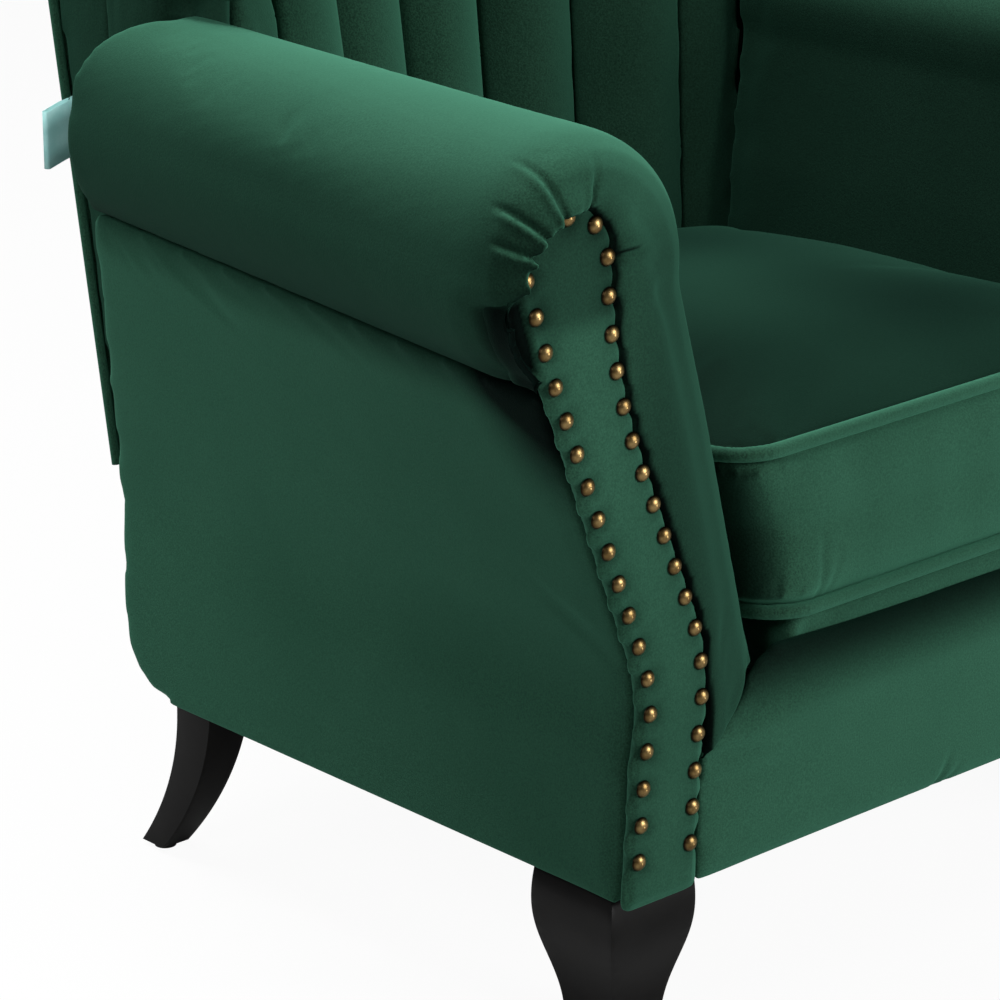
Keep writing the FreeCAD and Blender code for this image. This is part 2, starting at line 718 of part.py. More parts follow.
def nail_points():
    """Places of the nails: up the inner edge to the head, and up the outer edge to the roll."""
    p = facing_points(-s.nail_margin)
    spot = lambda x, z: Vector(x, s.front_face, z)
    inner = [Part.LineSegment(spot(*p["inner_low"]), spot(*p["inner_bend"])).toShape(),
             Part.Arc(spot(*p["inner_bend"]), spot(*p["inner_waist"]), spot(*p["inner_turn"])).toShape(),
             Part.LineSegment(spot(*p["inner_turn"]), spot(*p["inner_rise"])).toShape(),
             Part.Arc(spot(*p["inner_rise"]), spot(*p["inner_neck"]), spot(*p["head_inner"])).toShape(),
             Part.Arc(spot(*p["head_inner"]), spot(*p["head_shoulder"]), spot(*p["head_top"])).toShape()]
    outer = [Part.LineSegment(spot(*p["outer_low"]), spot(*p["outer_start"])).toShape(),
             Part.Arc(spot(*p["outer_start"]), spot(*p["outer_waist"]), spot(*p["outer_bend"])).toShape(),
             Part.LineSegment(spot(*p["outer_bend"]), spot(*p["outer_neck"])).toShape(),
             Part.LineSegment(spot(*p["outer_neck"]), spot(*p["head_side"])).toShape()]
    places = []
    for edges in (inner, outer):
        path = Part.Wire(edges)
        count = max(2, int(round((path.Length - s.nail_pitch) / s.nail_pitch)))
        places += path.discretize(Number=count + 1)
    lift = s.nail_diameter / 2 + s.nail_margin / 2
    return [point for point in places if point.z > s.leg_height + lift]


def nails():
    """Domed nail heads, each a cap cut from a ball."""
    half = s.nail_diameter / 2
    ball = (half ** 2 + s.nail_rise ** 2) / (2 * s.nail_rise)
    start = math.degrees(math.asin((ball - s.nail_rise) / ball))
    heads = []
    for point in nail_points():
        centre = Vector(point.x, s.front_face + ball - s.nail_rise, point.z)
        heads.append(Part.makeSphere(ball, centre, Vector(0, -1, 0), start, 90, 360))
    return Part.makeCompound(heads)


def make_arms():
    """Both arms: pad, outside panel, facing, nails, posts and top rail."""
    post_front = number(FRAME_FRONT)
    post_rear = post_front + s.post_thickness
    rear_post_rear = number(f"{REAR_BLOCK_REAR} - fit_gap")
    rear_post_front = rear_post_rear - s.rear_post_depth
    rail_top = number(RAIL_TOP) + s.nut_thickness + 2 * s.fit_gap
    slot_top = s.crease_height + 2 * s.arm_rail_height - s.slot_clearance
    pair("arm_pad", arm_pad())
    pair("side_panel", side_panel())
    pair("facing", prism(facing_wire(s.front_face), Vector(0, s.facing_thickness, 0)))
    pair("facing_nails", nails())
    pair("front_post", prism(facing_wire(post_front).makeOffset2D(-s.post_inset),
                             Vector(0, s.post_thickness, 0)))
    arm_timber("rear_post", rear_post_front, rear_post_rear, rail_top, slot_top)
    arm_timber("arm_rail", post_rear + s.fit_gap, rear_post_front - s.fit_gap,
               slot_top - s.arm_rail_height, slot_top)


# Back: timber frame, straps, foam, channels, wings and covers, all in the raked frame

def valley(x):
    """Depth of the hollow inside back at a distance from the middle."""
    half = s.channel_count * s.channel_width / 2
    return -s.back_hollow * (x / half) ** 2


def fan(z):
    """Widening of the channels with height."""
    return 1 + s.channel_fan_share * (z - s.fan_level) / s.back_height


def back_top(x):
    """Height of the arched top of the back at a distance from the middle."""
    return s.back_height - s.back_shoulder * (x / s.back_half) ** 2


def channel_section(left, right, z, crown):
    """Plan of one channel: a round front between two drawn-in seams and a flat rear."""
    gap = s.fit_gap / 2
    a, b = left * fan(z) + gap, right * fan(z) - gap
    y_a, y_b = valley(left), valley(right)
    front = ((a + b) / 2, (y_a + y_b) / 2 - crown)
    return outline(lambda x, y: Vector(x, y, z), (a, y_a), (front, (b, y_b)),
                   (b, y_b + s.channel_foam), (a, y_a + s.channel_foam))


def make_channels():
    """The fluted inside back and the shaped foam behind it."""
    count = int(s.channel_count)
    edges = [(i - count / 2) * s.channel_width for i in range(count + 1)]
    for i in range(count):
        left, right = edges[i], edges[i + 1]
        top = back_top(max(abs(left), abs(right))) - s.channel_top_drop
        levels = ((2 * s.fit_gap, s.channel_foot_share), (s.channel_end, 1),
                  (top - s.channel_end, 1), (top, s.channel_top_share))
        wires = [channel_section(left, right, z, share * s.channel_crown) for z, share in levels]
        form(f"channel_{i + 1}", Part.makeLoft(wires, True, True), rake())
    wires = []
    for z in (2 * s.fit_gap, s.back_height - s.back_shoulder - s.channel_end):
        front = [(x * fan(z), valley(x) + s.channel_foam + s.fit_gap) for x in edges]
        ends = [(edges[-1] * fan(z), s.foam_rear), (edges[0] * fan(z), s.foam_rear)]
        wires.append(outline(lambda x, y: Vector(x, y, z), *(front + ends)))
    form("back_foam", Part.makeLoft(wires, True, True), rake())


def make_back_frame():
    """Stiles, rails and webbing of the back."""
    frame_top = "(back_height - back_shoulder - channel_end)"
    for side, x in (("left", f"-{STILE_INNER} - stile_width"), ("right", STILE_INNER)):
        stile = block(side + "_stile", ("stile_width", "stile_depth", f"{frame_top} - 2*fit_gap"),
                      (x, "stile_front", "2*fit_gap"), raked=True)
        keep(stile, side + "_stile")
    span = f"2*({STILE_INNER} - fit_gap)"
    rail_front = "foam_rear + strap_thickness + 2*fit_gap"
    levels = {"back_bottom_rail": "2*fit_gap", "lumbar_rail": "lumbar_level",
              "back_top_rail": f"{frame_top} - back_rail_height"}
    for name, level in levels.items():
        rail = block(name, (span, "back_rail_depth", "back_rail_height"),
                     (f"-{STILE_INNER} + fit_gap", rail_front, level), raked=True)
        keep(rail, name)
    straps = []
    for i in range(int(s.strap_count)):
        level = f"channel_end + {i}*({frame_top} - 2*channel_end - strap_width)/(strap_count - 1)"
        straps.append(block(f"strap_{i + 1}", (span, "strap_thickness", "strap_width"),
                            (f"-{STILE_INNER} + fit_gap", "foam_rear + fit_gap", level), raked=True))
    keep(group("webbing", straps), "webbing")


def side_plane(z0):
    """Heights of a level cut across the raked back."""
    slope = math.tan(math.radians(s.rake_angle))
    return lambda x, y: Vector(x, y, z0 + y * slope)


def wing_foot():
    """Height at which the wings start, just clear of the arms."""
    arm_top = s.arm_height - s.arm_drop / 2 + s.wing_clearance
    return (arm_top - s.pivot_height) / math.cos(math.radians(s.rake_angle))


def wing_section(z0, reach):
    """Plan of a wing: flat outside, round front edge and flat inside, stepped round the stile."""
    lean = s.back_lean * z0
    outer, inner = s.back_half + lean, s.stile_inner + lean
    radius = (outer - inner) / 2
    arc = radius * math.sqrt(0.5)
    middle = (outer + inner) / 2
    front = -reach
    rear = s.stile_front + s.stile_depth - s.fit_gap
    stile_side = s.stile_inner + s.stile_width + s.fit_gap + lean
    step = s.stile_front - s.fit_gap
    return outline(side_plane(z0), (outer, rear), (outer, front + radius),
                   ((middle + arc, front + radius - arc), (middle, front)),
                   ((middle - arc, front + radius - arc), (inner, front + radius)),
                   (inner, step), (stile_side, step), (stile_side, rear))


def make_wings():
    """Wings above the arms, side bands below them and the strips beside the channels."""
    foot = wing_foot()
    top = back_top(s.back_half) - s.wing_clearance
    wires = [wing_section(mix(foot, top, share), s.wing_reach * reach) for share, reach in WING_STEPS]
    wires.append(wing_section(top, s.wing_top_reach))
    pair("wing", Part.makeLoft(wires, True, True), rake())
    wires = []
    for z0 in (2 * s.fit_gap, foot - s.fit_gap):
        lean = s.back_lean * z0
        rear = s.stile_front + s.stile_depth - s.fit_gap
        front = s.band_front
        inner = s.stile_inner + s.stile_width + s.fit_gap + lean
        wires.append(outline(side_plane(z0), (s.back_half + lean, rear), (s.back_half + lean, front),
                             (inner, front), (inner, rear)))
    pair("side_band", Part.makeLoft(wires, True, True), rake())
    wires = []
    edge = s.channel_count * s.channel_width / 2
    for z in (2 * s.fit_gap, top - s.wing_clearance):
        inner = edge * fan(z) + s.fit_gap
        outer = s.stile_inner - s.fit_gap + s.back_lean * z
        rear = s.stile_front - s.tongue_thickness - s.fit_gap
        wires.append(outline(lambda x, y: Vector(x, y, z), (inner, valley(edge)),
                             (outer, valley(edge) - s.strip_step), (outer, rear), (inner, rear)))
    pair("inside_wing", Part.makeLoft(wires, True, True), rake())


def make_top_border():
    """The padded top of the back, over the timber frame and behind the channels."""
    count = int(s.channel_count)
    edges = [(i - count / 2) * s.channel_width for i in range(count + 1)]
    low = s.back_height - s.back_shoulder - s.channel_end + s.fit_gap
    rear = s.stile_front + s.stile_depth - s.fit_gap
    wires = []
    for z in (low, s.back_height):
        front = [(x * fan(z), valley(x) + s.channel_foam + s.fit_gap) for x in edges]
        side = s.stile_inner + s.stile_width + s.back_lean * low
        first, last = (-front[-1][0], s.stile_front), (front[-1][0], s.stile_front)
        wires.append(outline(lambda x, y: Vector(x, y, z), first, *front, last, (side, s.stile_front),
                             (side, rear), (-side, rear), (-side, s.stile_front)))
    border = Part.makeLoft(wires, True, True)
    reach = 4 * s.back_hollow
    arch = prism(outside_outline(-reach), Vector(0, 2 * reach, 0))
    form("top_border", border.common(arch), rake())


def outside_outline(y):
    """Outline of the outside back, with its arched top."""
    top = back_top(s.back_half)
    low, high = s.back_half, s.back_half + s.back_lean * top
    return outline(lambda x, z: Vector(x, y, z), (-low, 2 * s.fit_gap), (low, 2 * s.fit_gap),
                   (high, top), ((0, s.back_height), (-high, top)))


def make_outside_back():
    """The padded panel behind the frame."""
    face = outside_outline(s.stile_front + s.stile_depth + s.fit_gap)
    form("outside_back", prism(face, Vector(0, s.outside_thickness, 0)), rake())


def make_knock_down():
    """Steel tongues on the stiles and the sockets on the rear rail that take them."""
    middle = f"({STILE_INNER} + stile_width/2)"
    tongues = []
    sockets = []
    top = f"({RAIL_TOP} - pivot_height - fit_gap)"
    for side, sign in (("left", "-1"), ("right", "1")):
        tongues.append(block(side + "_tongue",
                             ("tongue_width", "tongue_thickness", "tongue_length + tongue_overlap"),
                             (f"{sign}*{middle} - tongue_width/2", "stile_front - tongue_thickness",
                              "-tongue_length"), raked=True))
        wall = "(socket_wall + socket_play)"
        plate = block(side + "_plate",
                      (f"tongue_width + 2*{wall}", f"tongue_thickness + 2*{wall}", "socket_depth"),
                      (f"{sign}*{middle} - tongue_width/2 - {wall}",
                       f"stile_front - tongue_thickness - {wall}", f"{top} - socket_depth"), raked=True)
        slot = block(side + "_slot",
                     ("tongue_width + 2*socket_play", "tongue_thickness + 2*socket_play",
                      "socket_depth + 2*socket_wall"),
                     (f"{sign}*{middle} - tongue_width/2 - socket_play",
                      "stile_front - tongue_thickness - socket_play",
                      f"{top} - socket_depth - socket_wall"), raked=True)
        sockets.append(cut(side + "_socket", plate, slot))
    keep(group("back_tongues", tongues), "back_tongues")
    keep(group("back_sockets", sockets), "back_sockets")


def make_tab():
    """A plain ribbon tab sewn into the rear edge of the back."""
    tab = block("ribbon_tab", ("tab_width", "tab_thickness", "tab_height"),
                (f"-{BACK_HALF} - back_lean*(tab_level + tab_height) - tab_width - fit_gap",
                 "stile_front + stile_depth - 2*tab_thickness", "tab_level"), raked=True)
    keep(tab, "ribbon_tab")


# Loose seat cushion

def cushion_place():
    """The cushion's own frame: front edge and underside, pitched down to the rear."""
    front = s.front_face + s.cushion_front_gap
    lift = s.pivot_height + s.fit_gap
    return Placement(Vector(0, front, lift), Rotation(Vector(-1, 0, 0), s.seat_pitch))


def cushion_half(z, rear):
    """Half width of the cushion at a height, between the leaning arm pads."""
    low = s.seat_half_rear if rear else s.seat_half
    mid = s.inner_mid_rear if rear else s.inner_mid
    start = s.pivot_height if rear else s.pivot_height - s.pad_foot_drop
    drop = math.tan(math.radians(s.seat_pitch)) * s.cushion_depth if rear else 0
    level = min(max(s.pivot_height + z - drop, start), s.inner_mid_height)
    return mix(low, mid, (level - start) / (s.inner_mid_height - start)) - s.cushion_side_gap


def corner_arc(corner, along, away, radius):
    """Round a corner between two directions: both ends of the arc and its middle."""
    half_angle = along.getAngle(away) / 2
    bisector = (along + away).normalize()
    reach = radius / math.tan(half_angle)
    middle = corner + bisector * (radius / math.sin(half_angle) - radius)
    return corner + along * reach, middle, corner + away * reach


def rear_arc(edge, along, centre, bow_radius, radius):
    """Round the corner where a straight side meets the bowed rear edge."""
    inward = Vector(along.y, -along.x, 0)
    start = edge + inward * radius - centre
    reach = start.dot(along)
    spare = start.Length ** 2 - (bow_radius - radius) ** 2
    middle = centre + start + along * (-reach - math.sqrt(reach ** 2 - spare))
    to_side, to_bow = inward * -radius, (middle - centre).normalize() * radius
    return middle + to_side, middle + (to_side + to_bow).normalize() * radius, middle + to_bow


def cushion_outline(z, inset, lift=None):
    """Plan of the cushion at a height: round corners, straight sides and a bowed rear edge."""
    level = z if lift is None else lift
    front, rear = cushion_half(z, False) - inset, cushion_half(z, True) - inset
    back = s.cushion_depth - inset
    side = back - s.cushion_rear_bow
    bow_radius = (rear ** 2 + s.cushion_rear_bow ** 2) / (2 * s.cushion_rear_bow)
    along = Vector(front - rear, inset - side, 0).normalize()
    first = corner_arc(Vector(front, inset, 0), Vector(-1, 0, 0), along * -1, s.cushion_corner)
    last = rear_arc(Vector(rear, side, 0), along, Vector(0, back - bow_radius, 0), bow_radius,
                    s.cushion_corner)
    plan = lambda point: (point.x, point.y)
    other = lambda point: (-point.x, point.y)
    return outline(lambda x, y: Vector(x, y, level), other(first[0]), plan(first[0]),
                   (plan(first[1]), plan(first[2])), plan(last[0]), (plan(last[1]), plan(last[2])),
                   ((0, back), other(last[2])), (other(last[1]), other(last[0])), other(first[2]),
                   (other(first[1]), other(first[0])))


def welt_levels():
    """Heights of the middle of the lower and upper welts."""
    return s.piping_diameter, s.cushion_height


def cushion_levels():
    """Heights and insets of the cushion: welt grooves, drawn-in border and crown."""
    half = s.piping_diameter / 2 + s.fit_gap
    deep = s.piping_diameter + s.fit_gap
    low, high = welt_levels()
    crown = tuple((high + share * s.cushion_crown, inset * deep) for share, inset in CROWN_STEPS)
    return ((0, 2 * deep), (low - half, deep), (low + half, deep), (low + 2 * half, s.fit_gap),
            ((low + high) / 2, s.cushion_draw), (high - 2 * half, s.fit_gap), (high - half, deep),
            (high + half, deep)) + crown


def cushion_solid(skin):
    """The cushion's crowned form, drawn in by the thickness of what covers it."""
    levels = cushion_levels()
    lowest, highest = levels[0][0] + skin, levels[-1][0] - skin
    wires = []
    for z, inset in levels:
        lift = min(max(z, lowest), highest)
        wires.append(cushion_outline(min(z, s.cushion_height), inset + skin, lift))
    return Part.makeLoft(wires, True, True)


def welt(z):
    """One closed tube of piping round the cushion."""
    radius = s.piping_diameter / 2
    path = cushion_outline(z, radius)
    start = path.Edges[0].Vertexes[0].Point
    ring = Part.Wire([Part.Circle(start, Vector(1, 0, 0), radius - s.fit_gap).toShape()])
    return path.makePipeShell([ring], True, False)


def zip_circle():
    """Centre and radius of the curved rear border, drawn in at its middle."""
    z = sum(welt_levels()) / 2
    half = cushion_half(z, True) - s.cushion_draw
    bow = s.cushion_rear_bow
    radius = (half ** 2 + bow ** 2) / (2 * bow)
    return Vector(0, s.cushion_depth - s.cushion_draw - radius, z), radius


def ring_piece(centre, inner, outer, height, angle):
    """A short curved bar that follows the rear border, about its middle."""
    low = centre - Vector(0, 0, height / 2)
    ring = Part.makeCylinder(outer, height, low).cut(Part.makeCylinder(inner, height, low))
    reach = 2 * outer
    side = reach * math.tan(math.radians(angle / 2))
    wedge = outline(lambda x, y: low + Vector(x, y, 0), (0, 0), (side, reach), (-side, reach))
    return ring.common(prism(wedge, Vector(0, 0, height)))


def make_cushion():
    """Cover, core, welts and zip of the loose cushion."""
    place = cushion_place()
    form("cushion_cover", cushion_solid(0).cut(cushion_solid(s.cover_cloth)), place)
    form("cushion_core", cushion_solid(s.cover_cloth + s.fit_gap), place)
    form("cushion_piping", Part.makeCompound([welt(z) for z in welt_levels()]), place)
    centre, radius = zip_circle()
    chain = radius + 2 * s.fit_gap
    slider = chain + s.zip_thickness + s.fit_gap
    form("zip_chain", ring_piece(centre, chain, chain + s.zip_thickness, s.zip_height, s.zip_angle), place)
    form("zip_slider", ring_piece(centre, slider, slider + s.zip_thickness, s.slider_height,
                                  s.slider_angle), place)


make_base_frame()
make_springs()
make_deck()
make_base_covers()
make_legs()
make_leg_hardware()
make_arms()
make_channels()
make_back_frame()
make_wings()
make_top_border()
make_outside_back()
make_knock_down()
make_tab()
make_cushion()
doc.recompute()

for obj in doc.Objects:
    if {"Invalid", "Error"} & set(obj.State):
        raise RuntimeError(f"{obj.Label} did not compute: {obj.State}")
for piece in parts:
    if piece.Shape.isNull() or not piece.Shape.isValid() or not piece.Shape.Solids:
        raise RuntimeError(f"{piece.Label} has no valid solid")

os.makedirs("parts", exist_ok=True)
for piece in parts:
    piece.Shape.exportStep(os.path.join("parts", piece.Label + ".step"))
box = Part.makeCompound([piece.Shape for piece in parts]).BoundBox
print(f"{len(parts)} sub-parts, {box.XLength:.1f} x {box.YLength:.1f} x {box.ZLength:.1f} mm")
print(f"Y from {box.YMin:.1f} to {box.YMax:.1f}, Z from {box.ZMin:.1f}")
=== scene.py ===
# %% [markdown]
# A wingback chair in green velvet. The timber, springs and hardware come from the CAD model and stay
# where they are. Everything that is stuffed or sewn is made here, because cloth over padding has no
# straight faces. Each soft piece starts from the CAD solid it stands for, so it keeps that size and place.

# %% Load the chair
import json
import math

import bmesh
import bpy
import numpy as np
from mathutils import Matrix, Vector
from mathutils.bvhtree import BVHTree
from mathutils.noise import noise as noise_at


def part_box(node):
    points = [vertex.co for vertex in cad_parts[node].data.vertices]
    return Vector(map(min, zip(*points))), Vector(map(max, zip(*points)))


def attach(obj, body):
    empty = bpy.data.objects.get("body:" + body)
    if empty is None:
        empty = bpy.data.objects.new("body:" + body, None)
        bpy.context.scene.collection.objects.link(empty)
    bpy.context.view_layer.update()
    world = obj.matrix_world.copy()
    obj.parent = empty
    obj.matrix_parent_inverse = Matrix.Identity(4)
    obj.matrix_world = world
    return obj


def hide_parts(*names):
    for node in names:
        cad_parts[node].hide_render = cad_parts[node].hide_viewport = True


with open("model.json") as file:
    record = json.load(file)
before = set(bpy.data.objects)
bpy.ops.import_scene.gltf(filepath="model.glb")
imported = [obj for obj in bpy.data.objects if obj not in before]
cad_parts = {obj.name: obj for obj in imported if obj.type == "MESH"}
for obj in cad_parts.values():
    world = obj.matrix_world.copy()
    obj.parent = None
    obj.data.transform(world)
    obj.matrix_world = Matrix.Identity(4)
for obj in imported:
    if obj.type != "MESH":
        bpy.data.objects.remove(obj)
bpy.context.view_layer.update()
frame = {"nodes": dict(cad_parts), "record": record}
nodes = frame["nodes"]
scene = bpy.context.scene

# %% [markdown]
# The picture is a close view of the near arm from the front left, taken with a long lens from a little
# above the arm. A long lens keeps the sides of the arm almost parallel, so the camera stands far off.
# Turning the camera first and the chair never is the simplest way to compare a render with a picture.

# %% Camera
CAMERA_TURN = -42.5
CAMERA_RISE = 19.6

camera_data = bpy.data.cameras.new("camera")
camera_data.lens = 158.4
camera_data.sensor_width = 36.0
camera = bpy.data.objects.new("camera", camera_data)
camera.location = (-2.1378, -2.1823, 1.33265)
camera.rotation_euler = (math.radians(90 - CAMERA_RISE), 0, math.radians(CAMERA_TURN))
scene.collection.objects.link(camera)
scene.camera = camera
print("camera", tuple(round(v, 3) for v in camera.location), "lens", camera_data.lens)

# %% [markdown]
# A catalogue chair stands in a white room with very large lamps. One broad lamp in front of the chair
# lights the seat and the facing, one above draws the bright line along the roll, and a weak one on the
# left keeps the outside of the arm from going black. Area lamps are used, because their soft shadows suit
# cloth.

# %% Lamps
scene.view_settings.view_transform = "Standard"


def lamp(name, place, aim, size, watts):
    """A square area lamp turned towards a point."""
    data = bpy.data.lights.new(name, "AREA")
    data.shape = "SQUARE"
    data.size = size
    data.energy = watts
    made = bpy.data.objects.new(name, data)
    made.location = place
    made.rotation_euler = (Vector(aim) - Vector(place)).to_track_quat("-Z", "Y").to_euler()
    scene.collection.objects.link(made)
    return made


lamp("front_lamp", (0.9, -2.9, 1.3), (0.0, -0.1, 0.45), 1.5, 66)
lamp("top_lamp", (-0.5, 0.7, 2.9), (-0.2, 0.0, 0.5), 1.3, 72)
lamp("left_lamp", (-2.5, -0.9, 2.0), (-0.3, 0.0, 0.4), 1.0, 32)

# %% [markdown]
# The room itself is the world. A white world would light the velvet from every side and make it grey, so
# the world is white only for the camera. All other rays meet a very weak and slightly blue one, which
# fills the shadows.

# %% White room
ROOM_FILL = 0.07

world = bpy.data.worlds.new("white_room")
scene.world = world
world.use_nodes = True
tree = world.node_tree
tree.nodes.clear()
seen = tree.nodes.new("ShaderNodeBackground")
seen.inputs["Color"].default_value = (1.0, 1.0, 1.0, 1.0)
seen.inputs["Strength"].default_value = 1.0
felt = tree.nodes.new("ShaderNodeBackground")
felt.inputs["Color"].default_value = (0.9, 0.95, 1.0, 1.0)
felt.inputs["Strength"].default_value = ROOM_FILL
ray = tree.nodes.new("ShaderNodeLightPath")
pick = tree.nodes.new("ShaderNodeMixShader")
room = tree.nodes.new("ShaderNodeOutputWorld")
tree.links.new(ray.outputs["Is Camera Ray"], pick.inputs["Fac"])
tree.links.new(felt.outputs["Background"], pick.inputs[1])
tree.links.new(seen.outputs["Background"], pick.inputs[2])
tree.links.new(pick.outputs["Shader"], room.inputs["Surface"])
print("room fill", ROOM_FILL)

# %% [markdown]
# Finishes are built from noise, so they have no edge and need no pictures. Several of them share the same
# steps, so those steps sit in node groups. The first one is a cloudy mix of two colours, as no real
# surface has one even colour. Object coordinates are used, because every finished piece keeps its place
# in its own vertices and the pattern then runs on from one piece to the next.

# %% Cloudy colour
def group_of(name, sockets_in, sockets_out):
    """An empty shader group with its inputs and outputs declared."""
    made = bpy.data.node_groups.new(name, "ShaderNodeTree")
    for label, kind, value in sockets_in:
        socket = made.interface.new_socket(label, in_out="INPUT", socket_type=kind)
        socket.default_value = value
    for label, kind in sockets_out:
        made.interface.new_socket(label, in_out="OUTPUT", socket_type=kind)
    return made, made.nodes.new("NodeGroupInput"), made.nodes.new("NodeGroupOutput")


COLOUR, VALUE = "NodeSocketColor", "NodeSocketFloat"
cloud_group, cloud_in, cloud_out = group_of(
    "cloudy_colour",
    [("Dark", COLOUR, (0, 0, 0, 1)), ("Light", COLOUR, (1, 1, 1, 1)), ("Scale", VALUE, 6.0),
     ("Low", VALUE, 0.35), ("High", VALUE, 0.65)],
    [("Colour", COLOUR)])
place = cloud_group.nodes.new("ShaderNodeTexCoord")
noise = cloud_group.nodes.new("ShaderNodeTexNoise")
noise.inputs["Detail"].default_value = 4.0
noise.inputs["Roughness"].default_value = 0.55
spread = cloud_group.nodes.new("ShaderNodeMapRange")
spread.interpolation_type = "SMOOTHSTEP"
blend = cloud_group.nodes.new("ShaderNodeMix")
blend.data_type = "RGBA"
link = cloud_group.links.new
link(place.outputs["Object"], noise.inputs["Vector"])
link(cloud_in.outputs["Scale"], noise.inputs["Scale"])
link(noise.outputs["Fac"], spread.inputs["Value"])
link(cloud_in.outputs["Low"], spread.inputs["From Min"])
link(cloud_in.outputs["High"], spread.inputs["From Max"])
link(spread.outputs["Result"], blend.inputs["Factor"])
link(cloud_in.outputs["Dark"], blend.inputs["A"])
link(cloud_in.outputs["Light"], blend.inputs["B"])
link(blend.outputs["Result"], cloud_out.inputs["Colour"])
print("group", cloud_group.name, "with", len(cloud_group.nodes), "nodes")

# %% [markdown]
# The second group is the fine roughness of a surface: the tips of a pile, the pores of foam or the grain
# of wood. It is one noise whose coordinates can be stretched along an axis, which is all that grain needs.

# %% Fine grain
grain_group, grain_in, grain_out = group_of(
    "fine_grain", [("Scale", VALUE, 900.0), ("Stretch", "NodeSocketVector", (1, 1, 1))],
    [("Height", VALUE)])
place = grain_group.nodes.new("ShaderNodeTexCoord")
pull = grain_group.nodes.new("ShaderNodeVectorMath")
pull.operation = "MULTIPLY"
noise = grain_group.nodes.new("ShaderNodeTexNoise")
noise.inputs["Detail"].default_value = 3.0
link = grain_group.links.new
link(place.outputs["Object"], pull.inputs[0])
link(grain_in.outputs["Stretch"], pull.inputs[1])
link(pull.outputs["Vector"], noise.inputs["Vector"])
link(grain_in.outputs["Scale"], noise.inputs["Scale"])
link(noise.outputs["Fac"], grain_out.inputs["Height"])
print("group", grain_group.name, "with", len(grain_group.nodes), "nodes")

# %% [markdown]
# One function starts every finish: a Principled shader whose colour comes from the cloudy group and
# whose surface is roughened by the grain group. What makes each finish itself, such as the metal of the
# nails or the gloss of the legs, is set on the shader's own sockets afterwards. A second function does
# that for the finishes that need nothing else.

# %% Start of every finish
def finish_of(name, dark, light, clouds=6.0, low=0.35, high=0.65, grain=900.0, stretch=(1, 1, 1),
              bump=0.1, depth=0.0004):
    """A material with a cloudy colour and a grained surface; returns it with its shader and groups."""
    made = bpy.data.materials.new(name)
    made.use_nodes = True
    tree = made.node_tree
    shader = tree.nodes["Principled BSDF"]
    colour = tree.nodes.new("ShaderNodeGroup")
    colour.node_tree = cloud_group
    colour.inputs["Dark"].default_value = (*dark, 1)
    colour.inputs["Light"].default_value = (*light, 1)
    colour.inputs["Scale"].default_value = clouds
    colour.inputs["Low"].default_value = low
    colour.inputs["High"].default_value = high
    surface = tree.nodes.new("ShaderNodeGroup")
    surface.node_tree = grain_group
    surface.inputs["Scale"].default_value = grain
    surface.inputs["Stretch"].default_value = stretch
    raised = tree.nodes.new("ShaderNodeBump")
    raised.inputs["Strength"].default_value = bump
    raised.inputs["Distance"].default_value = depth
    tree.links.new(colour.outputs["Colour"], shader.inputs["Base Color"])
    tree.links.new(surface.outputs["Height"], raised.inputs["Height"])
    tree.links.new(raised.outputs["Normal"], shader.inputs["Normal"])
    return made, shader, colour, surface


def plain_finish(name, dark, light, sockets, **pattern):
    """A finish that needs nothing more than some values on its shader."""
    made, shader, colour, surface = finish_of(name, dark, light, **pattern)
    for label, value in sockets.items():
        shader.inputs[label].default_value = value
    return made


print("groups in every finish:", [group.name for group in bpy.data.node_groups])

# %% [markdown]
# Velvet is a short dense pile. Seen straight on it swallows light, and seen along the pile it glows, so
# the edges of every round form are pale. The Principled sheen gives that glow. A Layer Weight mix adds a
# painted sheen: it lifts the colour a little more towards the edges. The clouds are the marks that hands
# leave in the pile.
# Single tips catch more or less light, so the grain also makes the colour flecked.

# %% Velvet
velvet, shader, colour, surface = finish_of(
    "velvet", (0.0138, 0.0495, 0.0286), (0.0192, 0.064, 0.038), clouds=7.0, low=0.3, high=0.7,
    grain=750.0, bump=0.5, depth=0.0007)
shader.inputs["Roughness"].default_value = 0.75
shader.inputs["Specular IOR Level"].default_value = 0.03
shader.inputs["Sheen Weight"].default_value = 0.03
shader.inputs["Sheen Roughness"].default_value = 0.4
shader.inputs["Sheen Tint"].default_value = (0.24, 0.74, 0.50, 1)
tree = velvet.node_tree
edge = tree.nodes.new("ShaderNodeLayerWeight")
edge.inputs["Blend"].default_value = 0.3
# Painted sheen: the colour is lifted towards the edges, where the view grazes the surface.
painted_sheen = tree.nodes.new("ShaderNodeMix")
painted_sheen.data_type = "RGBA"
painted_sheen.inputs["B"].default_value = (0.07, 0.25, 0.16, 1)
speck = tree.nodes.new("ShaderNodeMapRange")
speck.inputs["From Min"].default_value = 0.3
speck.inputs["From Max"].default_value = 0.7
speck.inputs["To Min"].default_value = 0.6
speck.inputs["To Max"].default_value = 1.4
fleck = tree.nodes.new("ShaderNodeMix")
fleck.data_type = "RGBA"
fleck.blend_type = "MULTIPLY"
fleck.inputs["Factor"].default_value = 1.0
tree.links.new(surface.outputs["Height"], speck.inputs["Value"])
tree.links.new(colour.outputs["Colour"], fleck.inputs["A"])
tree.links.new(speck.outputs["Result"], fleck.inputs["B"])
tree.links.new(edge.outputs["Facing"], painted_sheen.inputs["Factor"])
tree.links.new(fleck.outputs["Result"], painted_sheen.inputs["A"])
print("velvet sheen", round(shader.inputs["Sheen Weight"].default_value, 3))
